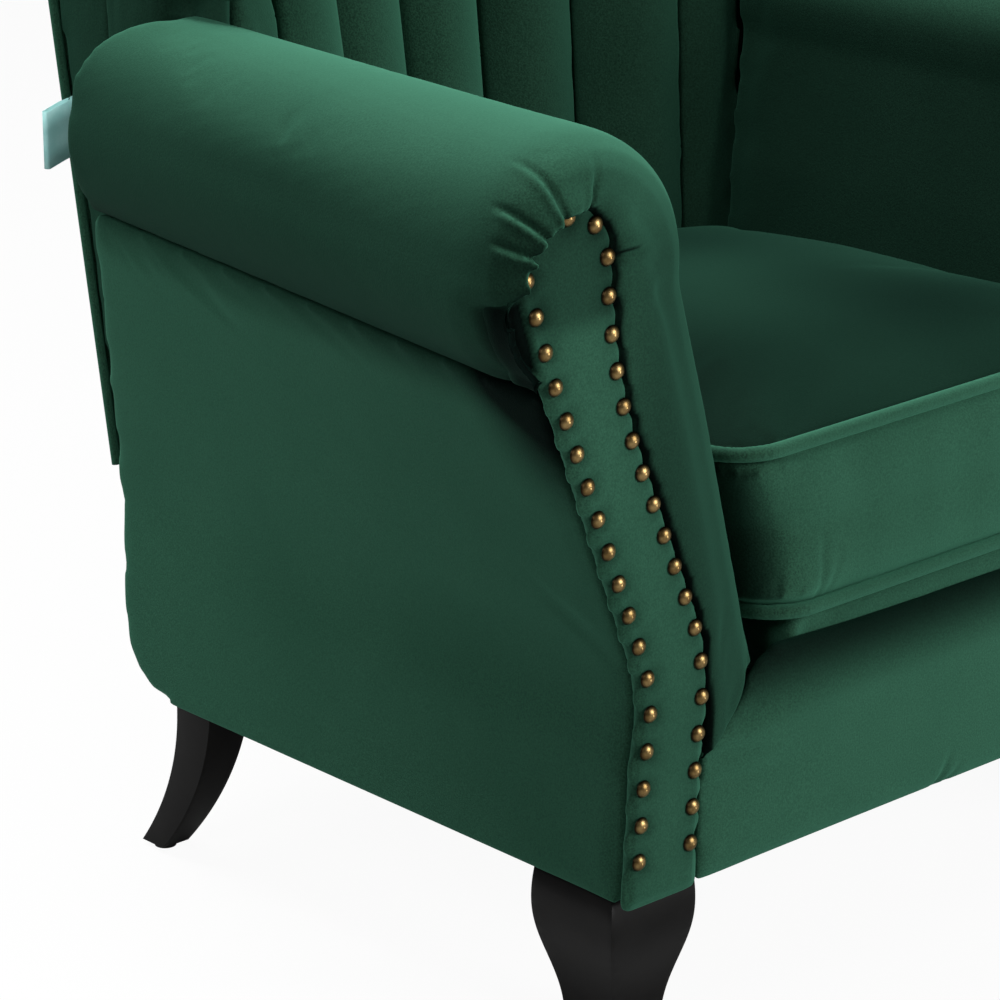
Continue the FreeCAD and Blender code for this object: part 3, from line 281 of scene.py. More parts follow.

# %% [markdown]
# Shade in the creases, under the roll and the cushion, inside the arms and on the far side of the back is
# painted: a value is stored with the vertices of each velvet piece, and the colour is multiplied down where
# it is high. In places it also stands for the darker lie of the pile.

# %% Painted shade in the velvet
painted_shade = tree.nodes.new("ShaderNodeAttribute")
painted_shade.attribute_name = "painted_shade"
painted_dark = tree.nodes.new("ShaderNodeMix")
painted_dark.data_type = "RGBA"
painted_dark.blend_type = "MULTIPLY"
# Painted shade: the colour is multiplied towards this where the painted shade is full.
painted_dark.inputs["B"].default_value = (0.01, 0.03, 0.035, 1)
tree.links.new(painted_shade.outputs["Fac"], painted_dark.inputs["Factor"])
tree.links.new(painted_sheen.outputs["Result"], painted_dark.inputs["A"])
tree.links.new(painted_dark.outputs["Result"], shader.inputs["Base Color"])
print("velvet has", len(tree.nodes), "nodes; the pile is read from", painted_shade.attribute_name)

# %% [markdown]
# The nails are brass with a painted shade towards the rim, where the dome meets the cloth. All of them look
# forward and stand at the same depth, so the forward axis alone tells the rim from the top of the dome.

# %% Brass of the nails
RIM_AT, DOME_AT = -0.3332, -0.3350

brass, shader, colour, surface = finish_of(
    "antique_brass", (0.20, 0.125, 0.045), (0.36, 0.245, 0.10), clouds=160.0, grain=700.0, bump=0.08)
shader.inputs["Metallic"].default_value = 1.0
shader.inputs["Roughness"].default_value = 0.36
tree = brass.node_tree
spot = tree.nodes.new("ShaderNodeTexCoord")
axes = tree.nodes.new("ShaderNodeSeparateXYZ")
rim = tree.nodes.new("ShaderNodeMapRange")
rim.inputs["From Min"].default_value = RIM_AT
rim.inputs["From Max"].default_value = DOME_AT
# Painted shade: the colour falls to near black at the rim of each dome.
rim_shade = tree.nodes.new("ShaderNodeMix")
rim_shade.data_type = "RGBA"
rim_shade.inputs["A"].default_value = (0.022, 0.014, 0.007, 1)
tree.links.new(spot.outputs["Object"], axes.inputs["Vector"])
tree.links.new(axes.outputs["Y"], rim.inputs["Value"])
tree.links.new(rim.outputs["Result"], rim_shade.inputs["Factor"])
tree.links.new(colour.outputs["Colour"], rim_shade.inputs["B"])
tree.links.new(rim_shade.outputs["Result"], shader.inputs["Base Color"])
print("brass darkens over", round((RIM_AT - DOME_AT) * 1000, 1), "mm of the dome")

# %% [markdown]
# The other hard finishes are short variations of the same start. The lacquer is almost black with a soft
# coat, the inner frame is plain softwood, and the springs and tongues are bare steel.

# %% Lacquer, timber and steel
lacquer = plain_finish(
    "black_lacquer", (0.0045, 0.0043, 0.0042), (0.007, 0.0067, 0.0064),
    {"Roughness": 0.42, "Specular IOR Level": 0.13, "Coat Weight": 0.06, "Coat Roughness": 0.25},
    clouds=30.0, grain=260.0, bump=0.03)
timber = plain_finish("frame_timber", (0.42, 0.27, 0.14), (0.62, 0.45, 0.27), {"Roughness": 0.7},
                      clouds=14.0, grain=60.0, stretch=(1, 8, 8), bump=0.15)
steel = plain_finish("frame_steel", (0.23, 0.23, 0.24), (0.36, 0.36, 0.37),
                     {"Metallic": 1.0, "Roughness": 0.4}, clouds=40.0, grain=300.0, bump=0.06)
print("hard finishes", [m.name for m in (lacquer, brass, timber, steel)])

# %% [markdown]
# The rest are the cloths and plastics that show only underneath, or when the cushion and the back are
# lifted away: black lining, pale foam, grey glides, a plain ribbon and a green zip.

# %% Lining, foam, glides, ribbon and zip
lining = plain_finish("dark_cloth", (0.010, 0.010, 0.011), (0.020, 0.020, 0.021), {"Roughness": 0.9},
                      clouds=60.0, grain=500.0, bump=0.4)
foam = plain_finish("foam", (0.62, 0.55, 0.38), (0.74, 0.68, 0.52), {"Roughness": 0.95},
                    clouds=25.0, grain=450.0, bump=0.5, depth=0.001)
plastic = plain_finish("glide_plastic", (0.025, 0.025, 0.026), (0.04, 0.04, 0.042), {"Roughness": 0.5},
                       clouds=80.0, grain=400.0, bump=0.1)
ribbon = plain_finish("ribbon", (0.33, 0.68, 0.66), (0.42, 0.76, 0.74), {"Roughness": 0.6},
                      clouds=90.0, grain=700.0, stretch=(1, 1, 6), bump=0.25)
zip_green = plain_finish("zip_plastic", (0.012, 0.035, 0.024), (0.02, 0.05, 0.035), {"Roughness": 0.45},
                         clouds=120.0, grain=500.0, bump=0.3)
FINISHES = {"velvet": velvet, "black_lacquer": lacquer, "frame_timber": timber, "antique_brass": brass,
            "frame_steel": steel, "dark_cloth": lining, "foam": foam, "glide_plastic": plastic,
            "ribbon": ribbon, "zip_plastic": zip_green}
print(len(FINISHES), "finishes")

# %% [markdown]
# The CAD pieces that are right as they are keep their meshes and only take a finish. The record of the
# model says which finish slot each of them belongs to.

# %% Finishes on the CAD pieces
slot_of = {part["node"]: part["material_slot"] for part in frame["record"]["subparts"]}
for node_name, node in nodes.items():
    node.data.materials.clear()
    node.data.materials.append(FINISHES[slot_of[node_name]])
print("finishes set on", len(slot_of), "CAD nodes")

# %% [markdown]
# Upholstery is cloth pulled over padding and held along its seams. Each soft piece is made the same way.
# The CAD solid gives the form. Its loose triangles are welded and rebuilt as an even net of small squares,
# because cloth can only swell evenly on an even net. The net is then eased, so that no edge stays sharp.

# %% Even net from a CAD solid
WELD = 0.00002


def rebuilt(piece):
    """Turns the piece's modifiers into its mesh."""
    graph = bpy.context.evaluated_depsgraph_get()
    done = bpy.data.meshes.new_from_object(piece.evaluated_get(graph))
    piece.modifiers.clear()
    piece.data = done
    return piece


def outer_skin(bm):
    """Drops a shell that lies inside another one, keeping the one that reaches farthest."""
    start = max(bm.verts, key=lambda v: v.co.x)
    reached, front = {start}, [start]
    while front:
        here = front.pop()
        for edge in here.link_edges:
            other = edge.other_vert(here)
            if other not in reached:
                reached.add(other)
                front.append(other)
    bmesh.ops.delete(bm, geom=[v for v in bm.verts if v not in reached], context="VERTS")


def net_of(name, node_name, square, ease=2, hollow=False):
    """An even net with the form of a CAD node."""
    bm = bmesh.new()
    bm.from_mesh(nodes[node_name].data)
    bmesh.ops.remove_doubles(bm, verts=bm.verts, dist=WELD)
    if hollow:
        outer_skin(bm)
    bmesh.ops.recalc_face_normals(bm, faces=bm.faces)
    mesh = bpy.data.meshes.new(name)
    bm.to_mesh(mesh)
    bm.free()
    piece = bpy.data.objects.new(name, mesh)
    scene.collection.objects.link(piece)
    net = piece.modifiers.new("even_net", "REMESH")
    net.mode = "VOXEL"
    net.voxel_size = square
    rebuilt(piece)
    bm = bmesh.new()
    bm.from_mesh(piece.data)
    for step in range(ease):
        bmesh.ops.smooth_vert(bm, verts=bm.verts, factor=0.5, use_axis_x=True, use_axis_y=True,
                              use_axis_z=True)
    bm.to_mesh(piece.data)
    bm.free()
    piece.data.polygons.foreach_set("use_smooth", [True] * len(piece.data.polygons))
    piece.data.materials.clear()
    piece.data.materials.append(FINISHES[slot_of[node_name]])
    return piece


print("corners closer than", WELD * 1000, "mm are welded")

# %% [markdown]
# The stuffing is a cloth simulation: air pressure inside the net pushes it out, and the net is held where
# it touches a neighbour, just as the cloth is stapled or sewn there. Gravity is off, because the padding
# carries the cloth. Helpers come first: they read and write the corners of a net as rows of numbers, and
# measure how far each corner lies from the neighbours that hold it.

# %% Corners of a net
def points_of(mesh):
    """The vertices of a mesh as rows of x, y and z."""
    flat = np.empty(len(mesh.vertices) * 3)
    mesh.vertices.foreach_get("co", flat)
    return flat.reshape(-1, 3)


def put_points(mesh, rows):
    """Writes rows of x, y and z back to a mesh."""
    mesh.vertices.foreach_set("co", rows.reshape(-1))
    mesh.update()


def normals_of(mesh):
    """The vertex normals of a mesh as rows."""
    flat = np.empty(len(mesh.vertices) * 3)
    mesh.vertex_normals.foreach_get("vector", flat)
    return flat.reshape(-1, 3)


def distance_to(rows, node_names, reach):
    """Distance from each point to the nearest of some CAD nodes, up to a reach."""
    bm = bmesh.new()
    for node_name in node_names:
        bm.from_mesh(nodes[node_name].data)
    tree = BVHTree.FromBMesh(bm)
    bm.free()
    found = np.full(len(rows), reach)
    for i, row in enumerate(rows):
        hit = tree.find_nearest(Vector(row), reach)
        if hit[0] is not None:
            found[i] = hit[3]
    return found


def of_piece(name):
    """A finished or half-finished piece by its name."""
    return bpy.data.objects[name]


print("seat deck has", len(points_of(nodes["seat_deck"].data)), "corners in the CAD model")

# %% [markdown]
# Now the stuffing itself. The free cloth is first drawn in a little, so that it has room to swell. After
# twenty frames the movement is capped with a soft limit, so that a piece keeps its size.

# %% Stuffing
FRAMES = 20
soft_pieces = []


def stuffed(piece, neighbours, thin=0.0015, swell=0.005, pressure=4.0, grip=0.003):
    """Draws the free cloth in a little and makes it ready to swell, held near its neighbours."""
    rows = points_of(piece.data)
    free = distance_to(rows, neighbours, 4 * grip)
    share = np.clip((free - grip) / (3 * grip), 0, 1)[:, None]
    put_points(piece.data, rows - normals_of(piece.data) * thin * share)
    held = piece.vertex_groups.new(name="held")
    held.add([int(i) for i in np.nonzero(free <= grip)[0]], 1.0, "REPLACE")
    cloth = piece.modifiers.new("stuffing", "CLOTH")
    cloth.settings.vertex_group_mass = "held"
    cloth.settings.use_pressure = True
    cloth.settings.uniform_pressure_force = pressure
    cloth.settings.effector_weights.gravity = 0
    cloth.settings.quality = 4
    cloth.settings.tension_stiffness = 30
    cloth.settings.compression_stiffness = 30
    cloth.settings.bending_stiffness = 2
    cloth.collision_settings.use_self_collision = False
    cloth.point_cache.frame_start = 1
    cloth.point_cache.frame_end = FRAMES
    soft_pieces.append((piece, swell))
    return piece


def swell_all():
    """Runs the stuffing of every soft piece at once and keeps the capped result."""
    starts = [points_of(piece.data) for piece, swell in soft_pieces]
    for step in range(1, FRAMES + 1):
        scene.frame_set(step)
    graph = bpy.context.evaluated_depsgraph_get()
    for (piece, swell), start in zip(soft_pieces, starts):
        end = points_of(piece.evaluated_get(graph).data)
        move = end - start
        length = np.linalg.norm(move, axis=1, keepdims=True)
        move *= np.where(length > 0, swell * np.tanh(length / swell) / np.maximum(length, 1e-9), 0)
        piece.modifiers.clear()
        put_points(piece.data, start + move)
        print(piece.name, "swelled by", round(float(np.abs(move).max()) * 1000, 1), "mm")
    scene.frame_set(1)


print("stuffing runs for", FRAMES, "frames")

# %% [markdown]
# The two arms come first, because they fill the picture. An arm is one long pad that rises from the seat,
# turns over into the roll and ends in a crease on the outside. Below the crease the outside is a flat
# panel. The front of the arm is closed by a scroll-shaped facing, which the nails hold down.

# %% Arms
SIDES = {"left": -1, "right": 1}

for side in SIDES:
    pad = net_of(side + "_arm_cover", side + "_arm_pad", 0.005)
    near = [side + "_facing", side + "_side_panel", "front_cover", side + "_front_post"]
    stuffed(pad, near, swell=0.0025)
    panel = net_of(side + "_outside_arm", side + "_side_panel", 0.005, ease=6)
    near = [side + "_facing", side + "_arm_pad", "rear_cover", side + "_side_rail"]
    stuffed(panel, near, thin=0.0, swell=0.0008)
    facing = net_of(side + "_arm_facing", side + "_facing", 0.003)
    near = [side + "_facing_nails", side + "_front_post"]
    stuffed(facing, near, thin=0.0, swell=0.0025, grip=0.002)
    print(side, "arm nets", [len(p.data.polygons) for p in (pad, panel, facing)])

# %% [markdown]
# Across the front and the back of the base run two padded bands, and the springs are covered by a deck
# that the cushion lies on. They are simple boxes in the CAD model, so the swelling does most of the work.

# %% Bands and deck of the base
near = ["left_facing", "right_facing", "left_arm_pad", "right_arm_pad", "front_rail"]
front_band = stuffed(net_of("front_band", "front_cover", 0.005, ease=5), near, thin=0.0, swell=0.005)
near = ["left_side_panel", "right_side_panel"]
rear_band = stuffed(net_of("rear_band", "rear_cover", 0.005, ease=6), near, thin=0.0, swell=0.004)
near = ["front_cover", "left_arm_pad", "right_arm_pad"]
deck = stuffed(net_of("padded_deck", "seat_deck", 0.008), near, thin=0.0, swell=0.006)
print("base nets", [len(p.data.polygons) for p in (front_band, rear_band, deck)])

# %% [markdown]
# The inside back is made of five channels, each a long tube of cloth stuffed between two seams. The seams
# are held, so the tubes swell in between and leave the deep lines that give this back its look.

# %% Channels
CHANNELS = [f"channel_{i}" for i in range(1, 6)]
ROW = ["left_inside_wing"] + CHANNELS + ["right_inside_wing"]
for i, channel in enumerate(CHANNELS, start=1):
    flute = net_of(f"flute_{i}", channel, 0.005)
    stuffed(flute, [ROW[i - 1], ROW[i + 1], "back_foam", "top_border"], swell=0.006)
print("channel net", len(flute.data.polygons), "squares each")

# %% [markdown]
# Wings, side bands, top and outside of the back are padded boards. They swell less than the channels,
# because a board lies right behind the cloth.

# %% Wings and outside of the back
for side in SIDES:
    near = [side + "_stile", side + "_inside_wing", side + "_side_band", "outside_back", "top_border"]
    stuffed(net_of(side + "_wing_cover", side + "_wing", 0.005, ease=6), near, swell=0.006)
    near = [side + "_stile", side + "_wing", "outside_back"]
    stuffed(net_of(side + "_back_band", side + "_side_band", 0.004, ease=6), near, thin=0.0, swell=0.003)
    near = [side + "_stile", side + "_wing", "channel_1" if side == "left" else "channel_5"]
    stuffed(net_of(side + "_inner_wing", side + "_inside_wing", 0.005, ease=4), near, thin=0.0, swell=0.004)
near = CHANNELS + ["left_wing", "right_wing", "outside_back"]
stuffed(net_of("top_roll", "top_border", 0.005, ease=6), near, swell=0.005)
near = ["left_wing", "right_wing", "left_side_band", "right_side_band", "top_border"]
stuffed(net_of("outer_back", "outside_back", 0.005, ease=6), near, thin=0.0, swell=0.004)
print(len(soft_pieces), "soft pieces so far")

# %% [markdown]
# The seat cushion is loose: a foam block in a cover with a welt along its upper and lower edges. Only the
# outer skin of the CAD cover is used. It swells more than the rest, with the welts' grooves held.

# %% Cushion
cushion = net_of("seat_cushion", "cushion_cover", 0.005, ease=1, hollow=True)
stuffed(cushion, ["cushion_piping"], thin=0.0, swell=0.008, grip=0.0025)
welts = net_of("cushion_welts", "cushion_piping", 0.002, ease=1)
print("cushion", len(cushion.data.polygons), "welts", len(welts.data.polygons))

# %% [markdown]
# All the pieces now swell at once. Each one only touches its own net, so nothing is gained by running
# them one after the other, and a single pass over the frames is quicker.

# %% Swell every soft piece
swell_all()

# %% [markdown]
# The next steps are worked into the nets vertex by vertex, because folds are too fine for the
# stuffing. Two helpers come first: a smooth step from 0 to 1, and a net made twice as fine. A third one
# stores the painted shade, which the velvet reads.

# %% Smooth steps, finer nets and the painted shade
def ease_in(low, high, value):
    """0 below low, 1 above high and a smooth rise in between."""
    part = np.clip((value - low) / (high - low), 0, 1)
    return part * part * (3 - 2 * part)


def finer(piece):
    """Halves the squares of a net and rounds them."""
    halves = piece.modifiers.new("halves", "SUBSURF")
    halves.levels = halves.render_levels = 1
    return rebuilt(piece)


def set_painted_shade(piece, values):
    """Stores the painted shade, from 0 to 1, at each vertex."""
    painted_dark = piece.data.attributes.new("painted_shade", "FLOAT", "POINT")
    painted_dark.data.foreach_set("value", np.clip(values, 0, 1))


print("smooth step at a quarter:", ease_in(0.0, 1.0, 0.25))

# %% [markdown]
# A row of domed nails holds the cloth round each facing. The cloth sinks a little at every nail, so the
# places of the nails are read from the CAD model: the top of each dome is its foremost point.

# %% Places of the nails
def nail_places(side):
    """The tops of a facing's nails."""
    rows = points_of(nodes[side + "_facing_nails"].data)
    tops = rows[rows[:, 1] < rows[:, 1].min() + 0.0001]
    return np.unique(np.round(tops, 4), axis=0)


def from_nails(rows, side):
    """Distance across the front from each point to the nearest nail."""
    apart = np.full(len(rows), 1.0)
    for top in nail_places(side):
        apart = np.minimum(apart, np.hypot(rows[:, 0] - top[0], rows[:, 2] - top[2]))
    return apart


def outside_nails(rows, side):
    """How far out each point lies from the outer row of nails, measured at its own height."""
    tops = nail_places(side) * (SIDES[side], 1, 1)
    beside = [tops[np.abs(tops[:, 2] - top[2]) < 0.014, 0].max() - 0.002 for top in tops]
    outer = tops[tops[:, 0] >= beside]
    outer = outer[np.argsort(outer[:, 2])]
    return rows[:, 0] * SIDES[side] - np.interp(rows[:, 2], outer[:, 2], outer[:, 0])


print("nails on each arm:", [len(nail_places(side)) for side in SIDES])

# %% [markdown]
# The roll of the arm ends in short pleats round the scroll, because the cloth that covers a round end is
# too wide there and has to be folded. Each pleat is a narrow groove with a ridge beside it. It points at
# the scroll's middle and runs out after a few centimetres, sooner on the outside than on top.

# %% Pleats round the scroll
HEAD_RADIUS = 0.0405
PLEATS = (27, 51, 81, 117, 178)
PLEAT_DEPTH, PUCKER = 0.003, 0.002


def about_scroll(rows, side):
    """Distance and angle of each point about the scroll's middle, and its depth behind the facing."""
    low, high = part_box(side + "_facing")
    out = rows[:, 0] * SIDES[side] - max(abs(low[0]), abs(high[0])) + HEAD_RADIUS
    up = rows[:, 2] - high[2] + HEAD_RADIUS
    return np.hypot(out, up), np.degrees(np.arctan2(up, out)), rows[:, 1] - low[1]


def under_head(turn):
    """1 at the angles below the scroll's head, where the cloth is tucked in, and 0 elsewhere."""
    return ease_in(-100, -75, turn) * (1 - ease_in(-24, -6, turn))


for side in SIDES:
    pad = finer(of_piece(side + "_arm_cover"))
    rows, lean = points_of(pad.data), normals_of(pad.data)
    ring, turn, depth = about_scroll(rows, side)
    fold = np.zeros(len(rows))
    for angle in PLEATS:
        off = np.radians((turn - angle + 180) % 360 - 180) * ring
        fold += np.exp(-(off / 0.0022) ** 2) - 0.45 * np.exp(-((off + 0.0045) / 0.003) ** 2)
    short = np.interp(turn, [20, 85], [0.020, 0.045])
    fold *= (1 - ease_in(0.006, 0.036, ring - HEAD_RADIUS)) * (1 - ease_in(0.4, 1.0, depth / short))
    pucker = np.exp(-(from_nails(rows, side) / 0.010) ** 2) * (1 - ease_in(0.004, 0.012, depth))
    rows -= lean * (PLEAT_DEPTH * fold)[:, None]
    rows[:, 1] += PUCKER * pucker
    put_points(pad.data, rows)
    print(side, "pad:", len(pad.data.polygons), "squares,", len(PLEATS), "pleats")

# %% [markdown]
# Round the head the cloth of the roll is drawn a little way over the edge of the facing, so it makes a soft
# lip there. Under the roll it is tucked in behind the facing, which leaves a dark hollow with a fold above.
# On the inside of the arm the cloth lies close to the facing, so no gap is left along the nails.

# %% Lip and tuck of the roll
LIP, TUCK_DEPTH, HUG = 0.006, 0.006, 0.006
tuck_shade = {}
for side in SIDES:
    pad = of_piece(side + "_arm_cover")
    rows, lean = points_of(pad.data), normals_of(pad.data)
    ring, turn, depth = about_scroll(rows, side)
    outside = ease_in(HEAD_RADIUS - 0.004, HEAD_RADIUS + 0.004, ring)
    tuck = under_head(turn) * (1 - ease_in(0.006, 0.056, depth)) * outside
    rows -= lean * (TUCK_DEPTH * tuck)[:, None]
    lip = (1 - ease_in(0.002, 0.016, np.abs(ring - HEAD_RADIUS))) * (1 - ease_in(0.004, 0.018, depth))
    lip *= ease_in(-40, -8, turn) * (1 - ease_in(95, 130, turn))
    inward = np.radians(turn)
    rows[:, 0] -= LIP * lip * np.cos(inward) * SIDES[side]
    rows[:, 2] -= LIP * lip * np.sin(inward)
    rows[:, 1] -= LIP * lip
    hug = np.exp(-(from_nails(rows, side) / 0.016) ** 2) * (1 - ease_in(0.02, 0.045, depth))
    hug *= ease_in(100, 125, np.abs(turn))
    rows[:, 0] += HUG * hug * SIDES[side]
    put_points(pad.data, rows)
    # Painted shade for the hollow of the tuck, used for the pad's colour further down.
    tuck_shade[side] = under_head(turn) * (1 - ease_in(0.012, 0.070, depth)) * outside
    made = (float(lip.max()) * LIP, float(tuck.max()) * TUCK_DEPTH)
    print(side, "lip and tuck in mm:", [round(value * 1000, 1) for value in made])

# %% [markdown]
# At the seat the front corner of the pad runs down to the band across the front and ends in a rounded
# foot. A short curve gives the height of that edge across the arm, and the corner is drawn down to it.

# %% Front foot of the arm pads
FOOT_ACROSS = (0.205, 0.216, 0.222, 0.231, 0.2486, 0.264)
FOOT_LEVEL = (0.280, 0.267, 0.257, 0.248, 0.237, 0.232)
for side, out in SIDES.items():
    pad = of_piece(side + "_arm_cover")
    rows = points_of(pad.data)
    across, depth = rows[:, 0] * out, rows[:, 1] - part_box(side + "_facing")[0][1]
    corner = (1 - ease_in(0.262, 0.300, rows[:, 2])) * (1 - ease_in(0.035, 0.060, depth)) * (across < 0.27)
    rows[:, 2] -= np.clip(0.267 - np.interp(across, FOOT_ACROSS, FOOT_LEVEL), 0, None) * corner
    put_points(pad.data, rows)
print("foot of the pads drawn down to", FOOT_LEVEL[-1], "m")

# %% [markdown]
# The arm pads are given painted shade. On the outside of the roll it is partly the darker lie of the pile
# and partly the shade under the roll, and the more the cloth turns under, the darker it is. The direction in
# which the cloth faces says where that is, so no edge shows between light and dark. Painted shade also
# lies in the tuck, in the crevice beside the facing's inner nails, on the inside of the arm and, a little,
# on the parts that face the front.

# %% Painted shade on the arm pads
INSIDE_SHADE = {"left": 0.42, "right": 0.78}

for side, out in SIDES.items():
    pad = of_piece(side + "_arm_cover")
    rows, lean = points_of(pad.data), normals_of(pad.data)
    ring, turn, depth = about_scroll(rows, side)
    facing_out, facing_up = lean[:, 0] * out, lean[:, 2]
    slope = np.degrees(np.arctan2(facing_up, facing_out))
    sideways = ease_in(0.2, 0.6, np.hypot(facing_out, facing_up)) * ease_in(-115, -90, slope)
    under = (1 - ease_in(5, 75, slope)) * sideways
    deep = (1 - ease_in(-75, -5, slope)) * sideways
    across, up = rows[:, 0] * out, rows[:, 2]
    inside = (1 - ease_in(0.30, 0.37, across)) * (1 - ease_in(0.56, 0.62, up))
    seam_shade = np.exp(-(from_nails(rows, side) / 0.026) ** 2) * (1 - ease_in(0.03, 0.06, depth))
    seam_shade *= ease_in(100, 125, np.abs(turn))
    # Painted shade on the parts of the pad that face the front.
    ahead = ease_in(0.5, 0.9, -lean[:, 1])
    shade = INSIDE_SHADE[side]
    inner = np.maximum(shade * inside, 0.3 * seam_shade) + 0.14 * ahead
    set_painted_shade(pad, np.maximum(tuck_shade[side], 0.64 * under + 0.3 * deep + inner))
print("pile laid on the arm pads")

# %% [markdown]
# The facing is a thin padded board. Its cloth dips at every nail, and between two nails its edge swells
# out over the seam, which gives the row its scalloped line. Under the roll its edge turns back into the
# tuck, so only a narrow rim is left outside the nails there.

# %% Dimples and scallops of the facings
DIMPLE, SCALLOP, TURN_BACK = 0.0016, 0.003, 0.004

for side in SIDES:
    facing = finer(of_piece(side + "_arm_facing"))
    rows, lean = points_of(facing.data), normals_of(facing.data)
    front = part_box(side + "_facing")[0][1]
    apart = from_nails(rows, side)
    rows[:, 1] += np.where(lean[:, 1] < -0.3, DIMPLE * np.exp(-(apart / 0.007) ** 2), 0)
    rim = (1 - ease_in(0.3, 0.7, -lean[:, 1])) * (rows[:, 1] < front + 0.006)
    ring, turn, depth = about_scroll(rows, side)
    tuck = under_head(turn)
    scallop = SCALLOP * np.maximum(ease_in(0.006, 0.012, apart), tuck) * rim
    tuck *= ease_in(0.0055, 0.0085, outside_nails(rows, side))
    rows[:, 1] += np.where(lean[:, 1] < -0.3, TURN_BACK * tuck, 0)
    rows[:, 0] += lean[:, 0] * scallop
    rows[:, 2] += lean[:, 2] * scallop
    put_points(facing.data, rows)
    # Painted shade: dark in the tuck, round every nail, over the head of the scroll (where the pile also
    # turns away) and a little towards the foot.
    shade = 0.45 * ease_in(0.525, 0.545, rows[:, 2]) + 0.16 * (1 - ease_in(0.22, 0.40, rows[:, 2]))
    set_painted_shade(facing, np.maximum(tuck, shade + 0.3 * np.exp(-(apart / 0.011) ** 2)))
    print(side, "facing:", len(facing.data.polygons), "squares")

# %% [markdown]
# The outside panel is flat and only its colour changes: a painted shade darkens it towards the facing and
# under the roll, where the shade of the arm falls on it. Distances from that corner are enough to paint
# this.

# %% Outside panels of the arms
CREASE_LEVEL = 0.494

for side in SIDES:
    panel = of_piece(side + "_outside_arm")
    rows = points_of(panel.data)
    depth = rows[:, 1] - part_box(side + "_facing")[0][1]
    corner = np.hypot(depth, rows[:, 2] - CREASE_LEVEL)
    shade = 0.8 * (1 - ease_in(0.02, 0.11, corner)) + 0.45 * ease_in(0.455, CREASE_LEVEL, rows[:, 2])
    set_painted_shade(panel, shade + 0.34 * (1 - ease_in(0.0, 0.55, depth)))
print("pile laid on the outside panels")

# %% [markdown]
# The band across the front runs up under the cushion, so that its cloth and the deck meet out of sight,
# and a painted shade makes it darkest there, under the overhang of the cushion. At its lower edge two short
# creases show where the cloth is pulled under. They are narrow grooves that run out upwards.

# %% Top and creases of the front band
RISE, CREASE_DEPTH = 0.018, 0.0022

front_band = finer(front_band)
rows, lean = points_of(front_band.data), normals_of(front_band.data)
rise = ease_in(0.232, 0.262, rows[:, 2]) * (1 - ease_in(0.212, 0.232, np.abs(rows[:, 0])))
crease = np.zeros(len(rows))
for start, slant, share in ((-0.038, 0.35, 1.0), (-0.028, 0.7, 0.6)):
    off = rows[:, 0] - start - slant * (rows[:, 2] - 0.130)
    crease += share * np.exp(-(off / 0.003) ** 2) * (1 - ease_in(0.134, 0.134 + 0.03 * share, rows[:, 2]))
rows -= lean * (CREASE_DEPTH * crease * (lean[:, 1] < -0.2))[:, None]
rows[:, 2] += RISE * rise
rows[:, 1] += RISE / 2 * rise
put_points(front_band.data, rows)
set_painted_shade(front_band, 0.92 * ease_in(0.222, 0.272, rows[:, 2]))
print("front band raised by", round(float(rise.max()) * RISE * 1000, 1), "mm under the cushion")

# %% [markdown]
# The cushion's cover is a little loose, so its front border has shallow upright wrinkles, and its top is
# not quite even and rises to a crown behind the middle. Smooth noise stretched along the border gives the
# wrinkles, and two narrow grooves are small pulls in the cloth above the lower welt.

# %% Wrinkles and crown of the cushion
def ripple(rows, waves):
    """A smooth random height at each point; waves is the number of waves per metre along each axis."""
    return np.array([noise_at(Matrix.Diagonal(waves) @ Vector(row)) for row in rows])


CROWN, WRINKLE, UNEVEN, PULL = 0.016, 0.0014, 0.0016, 0.0011

cushion = finer(cushion)
rows, lean = points_of(cushion.data), normals_of(cushion.data)
border = 1 - ease_in(0.35, 0.75, np.abs(lean[:, 2]))
top = ease_in(0.5, 0.9, lean[:, 2])
rows += lean * (border * WRINKLE * ripple(rows, (22, 22, 5)))[:, None]
rows += lean * (top * UNEVEN * ripple(rows, (9, 9, 9)))[:, None]
for start, slant, share in ((-0.150, 0.1, 1.0), (-0.141, 0.3, 0.6)):
    off = rows[:, 0] - start - slant * (rows[:, 2] - 0.30)
    pull = share * np.exp(-(off / 0.0028) ** 2) * (1 - ease_in(0.310, 0.310 + 0.05 * share, rows[:, 2]))
    rows -= lean * (PULL * border * pull * (lean[:, 1] < -0.4))[:, None]
low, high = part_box("cushion_cover")
share = (rows[:, 1] - low[1]) / (high[1] - low[1])
crown = ease_in(0.05, 0.6, share) * (1 - ease_in(0.78, 1.0, share)) * (1 - (rows[:, 0] / high[0]) ** 6)
rows[:, 2] += CROWN * top * np.clip(crown, 0, 1)
print("cushion", len(cushion.data.polygons), "squares, crown", round(CROWN * 1000), "mm")

# %% [markdown]
# Below the lower welt the cover turns in under the cushion, and a painted shadow darkens it, so that a dark
# line is left above the front band. The cushion is tilted, so heights are measured along its own upright.
# Painted shade makes the top the darkest part of the seat, a little uneven, and darkens the corners that
# turn towards the arms. The welts stand proud, because a cord is sewn into them.

# %% Lower edge, painted shade and welts of the cushion
CUSHION_TILT = math.radians(3.5)
WELT_RISE = 0.0018

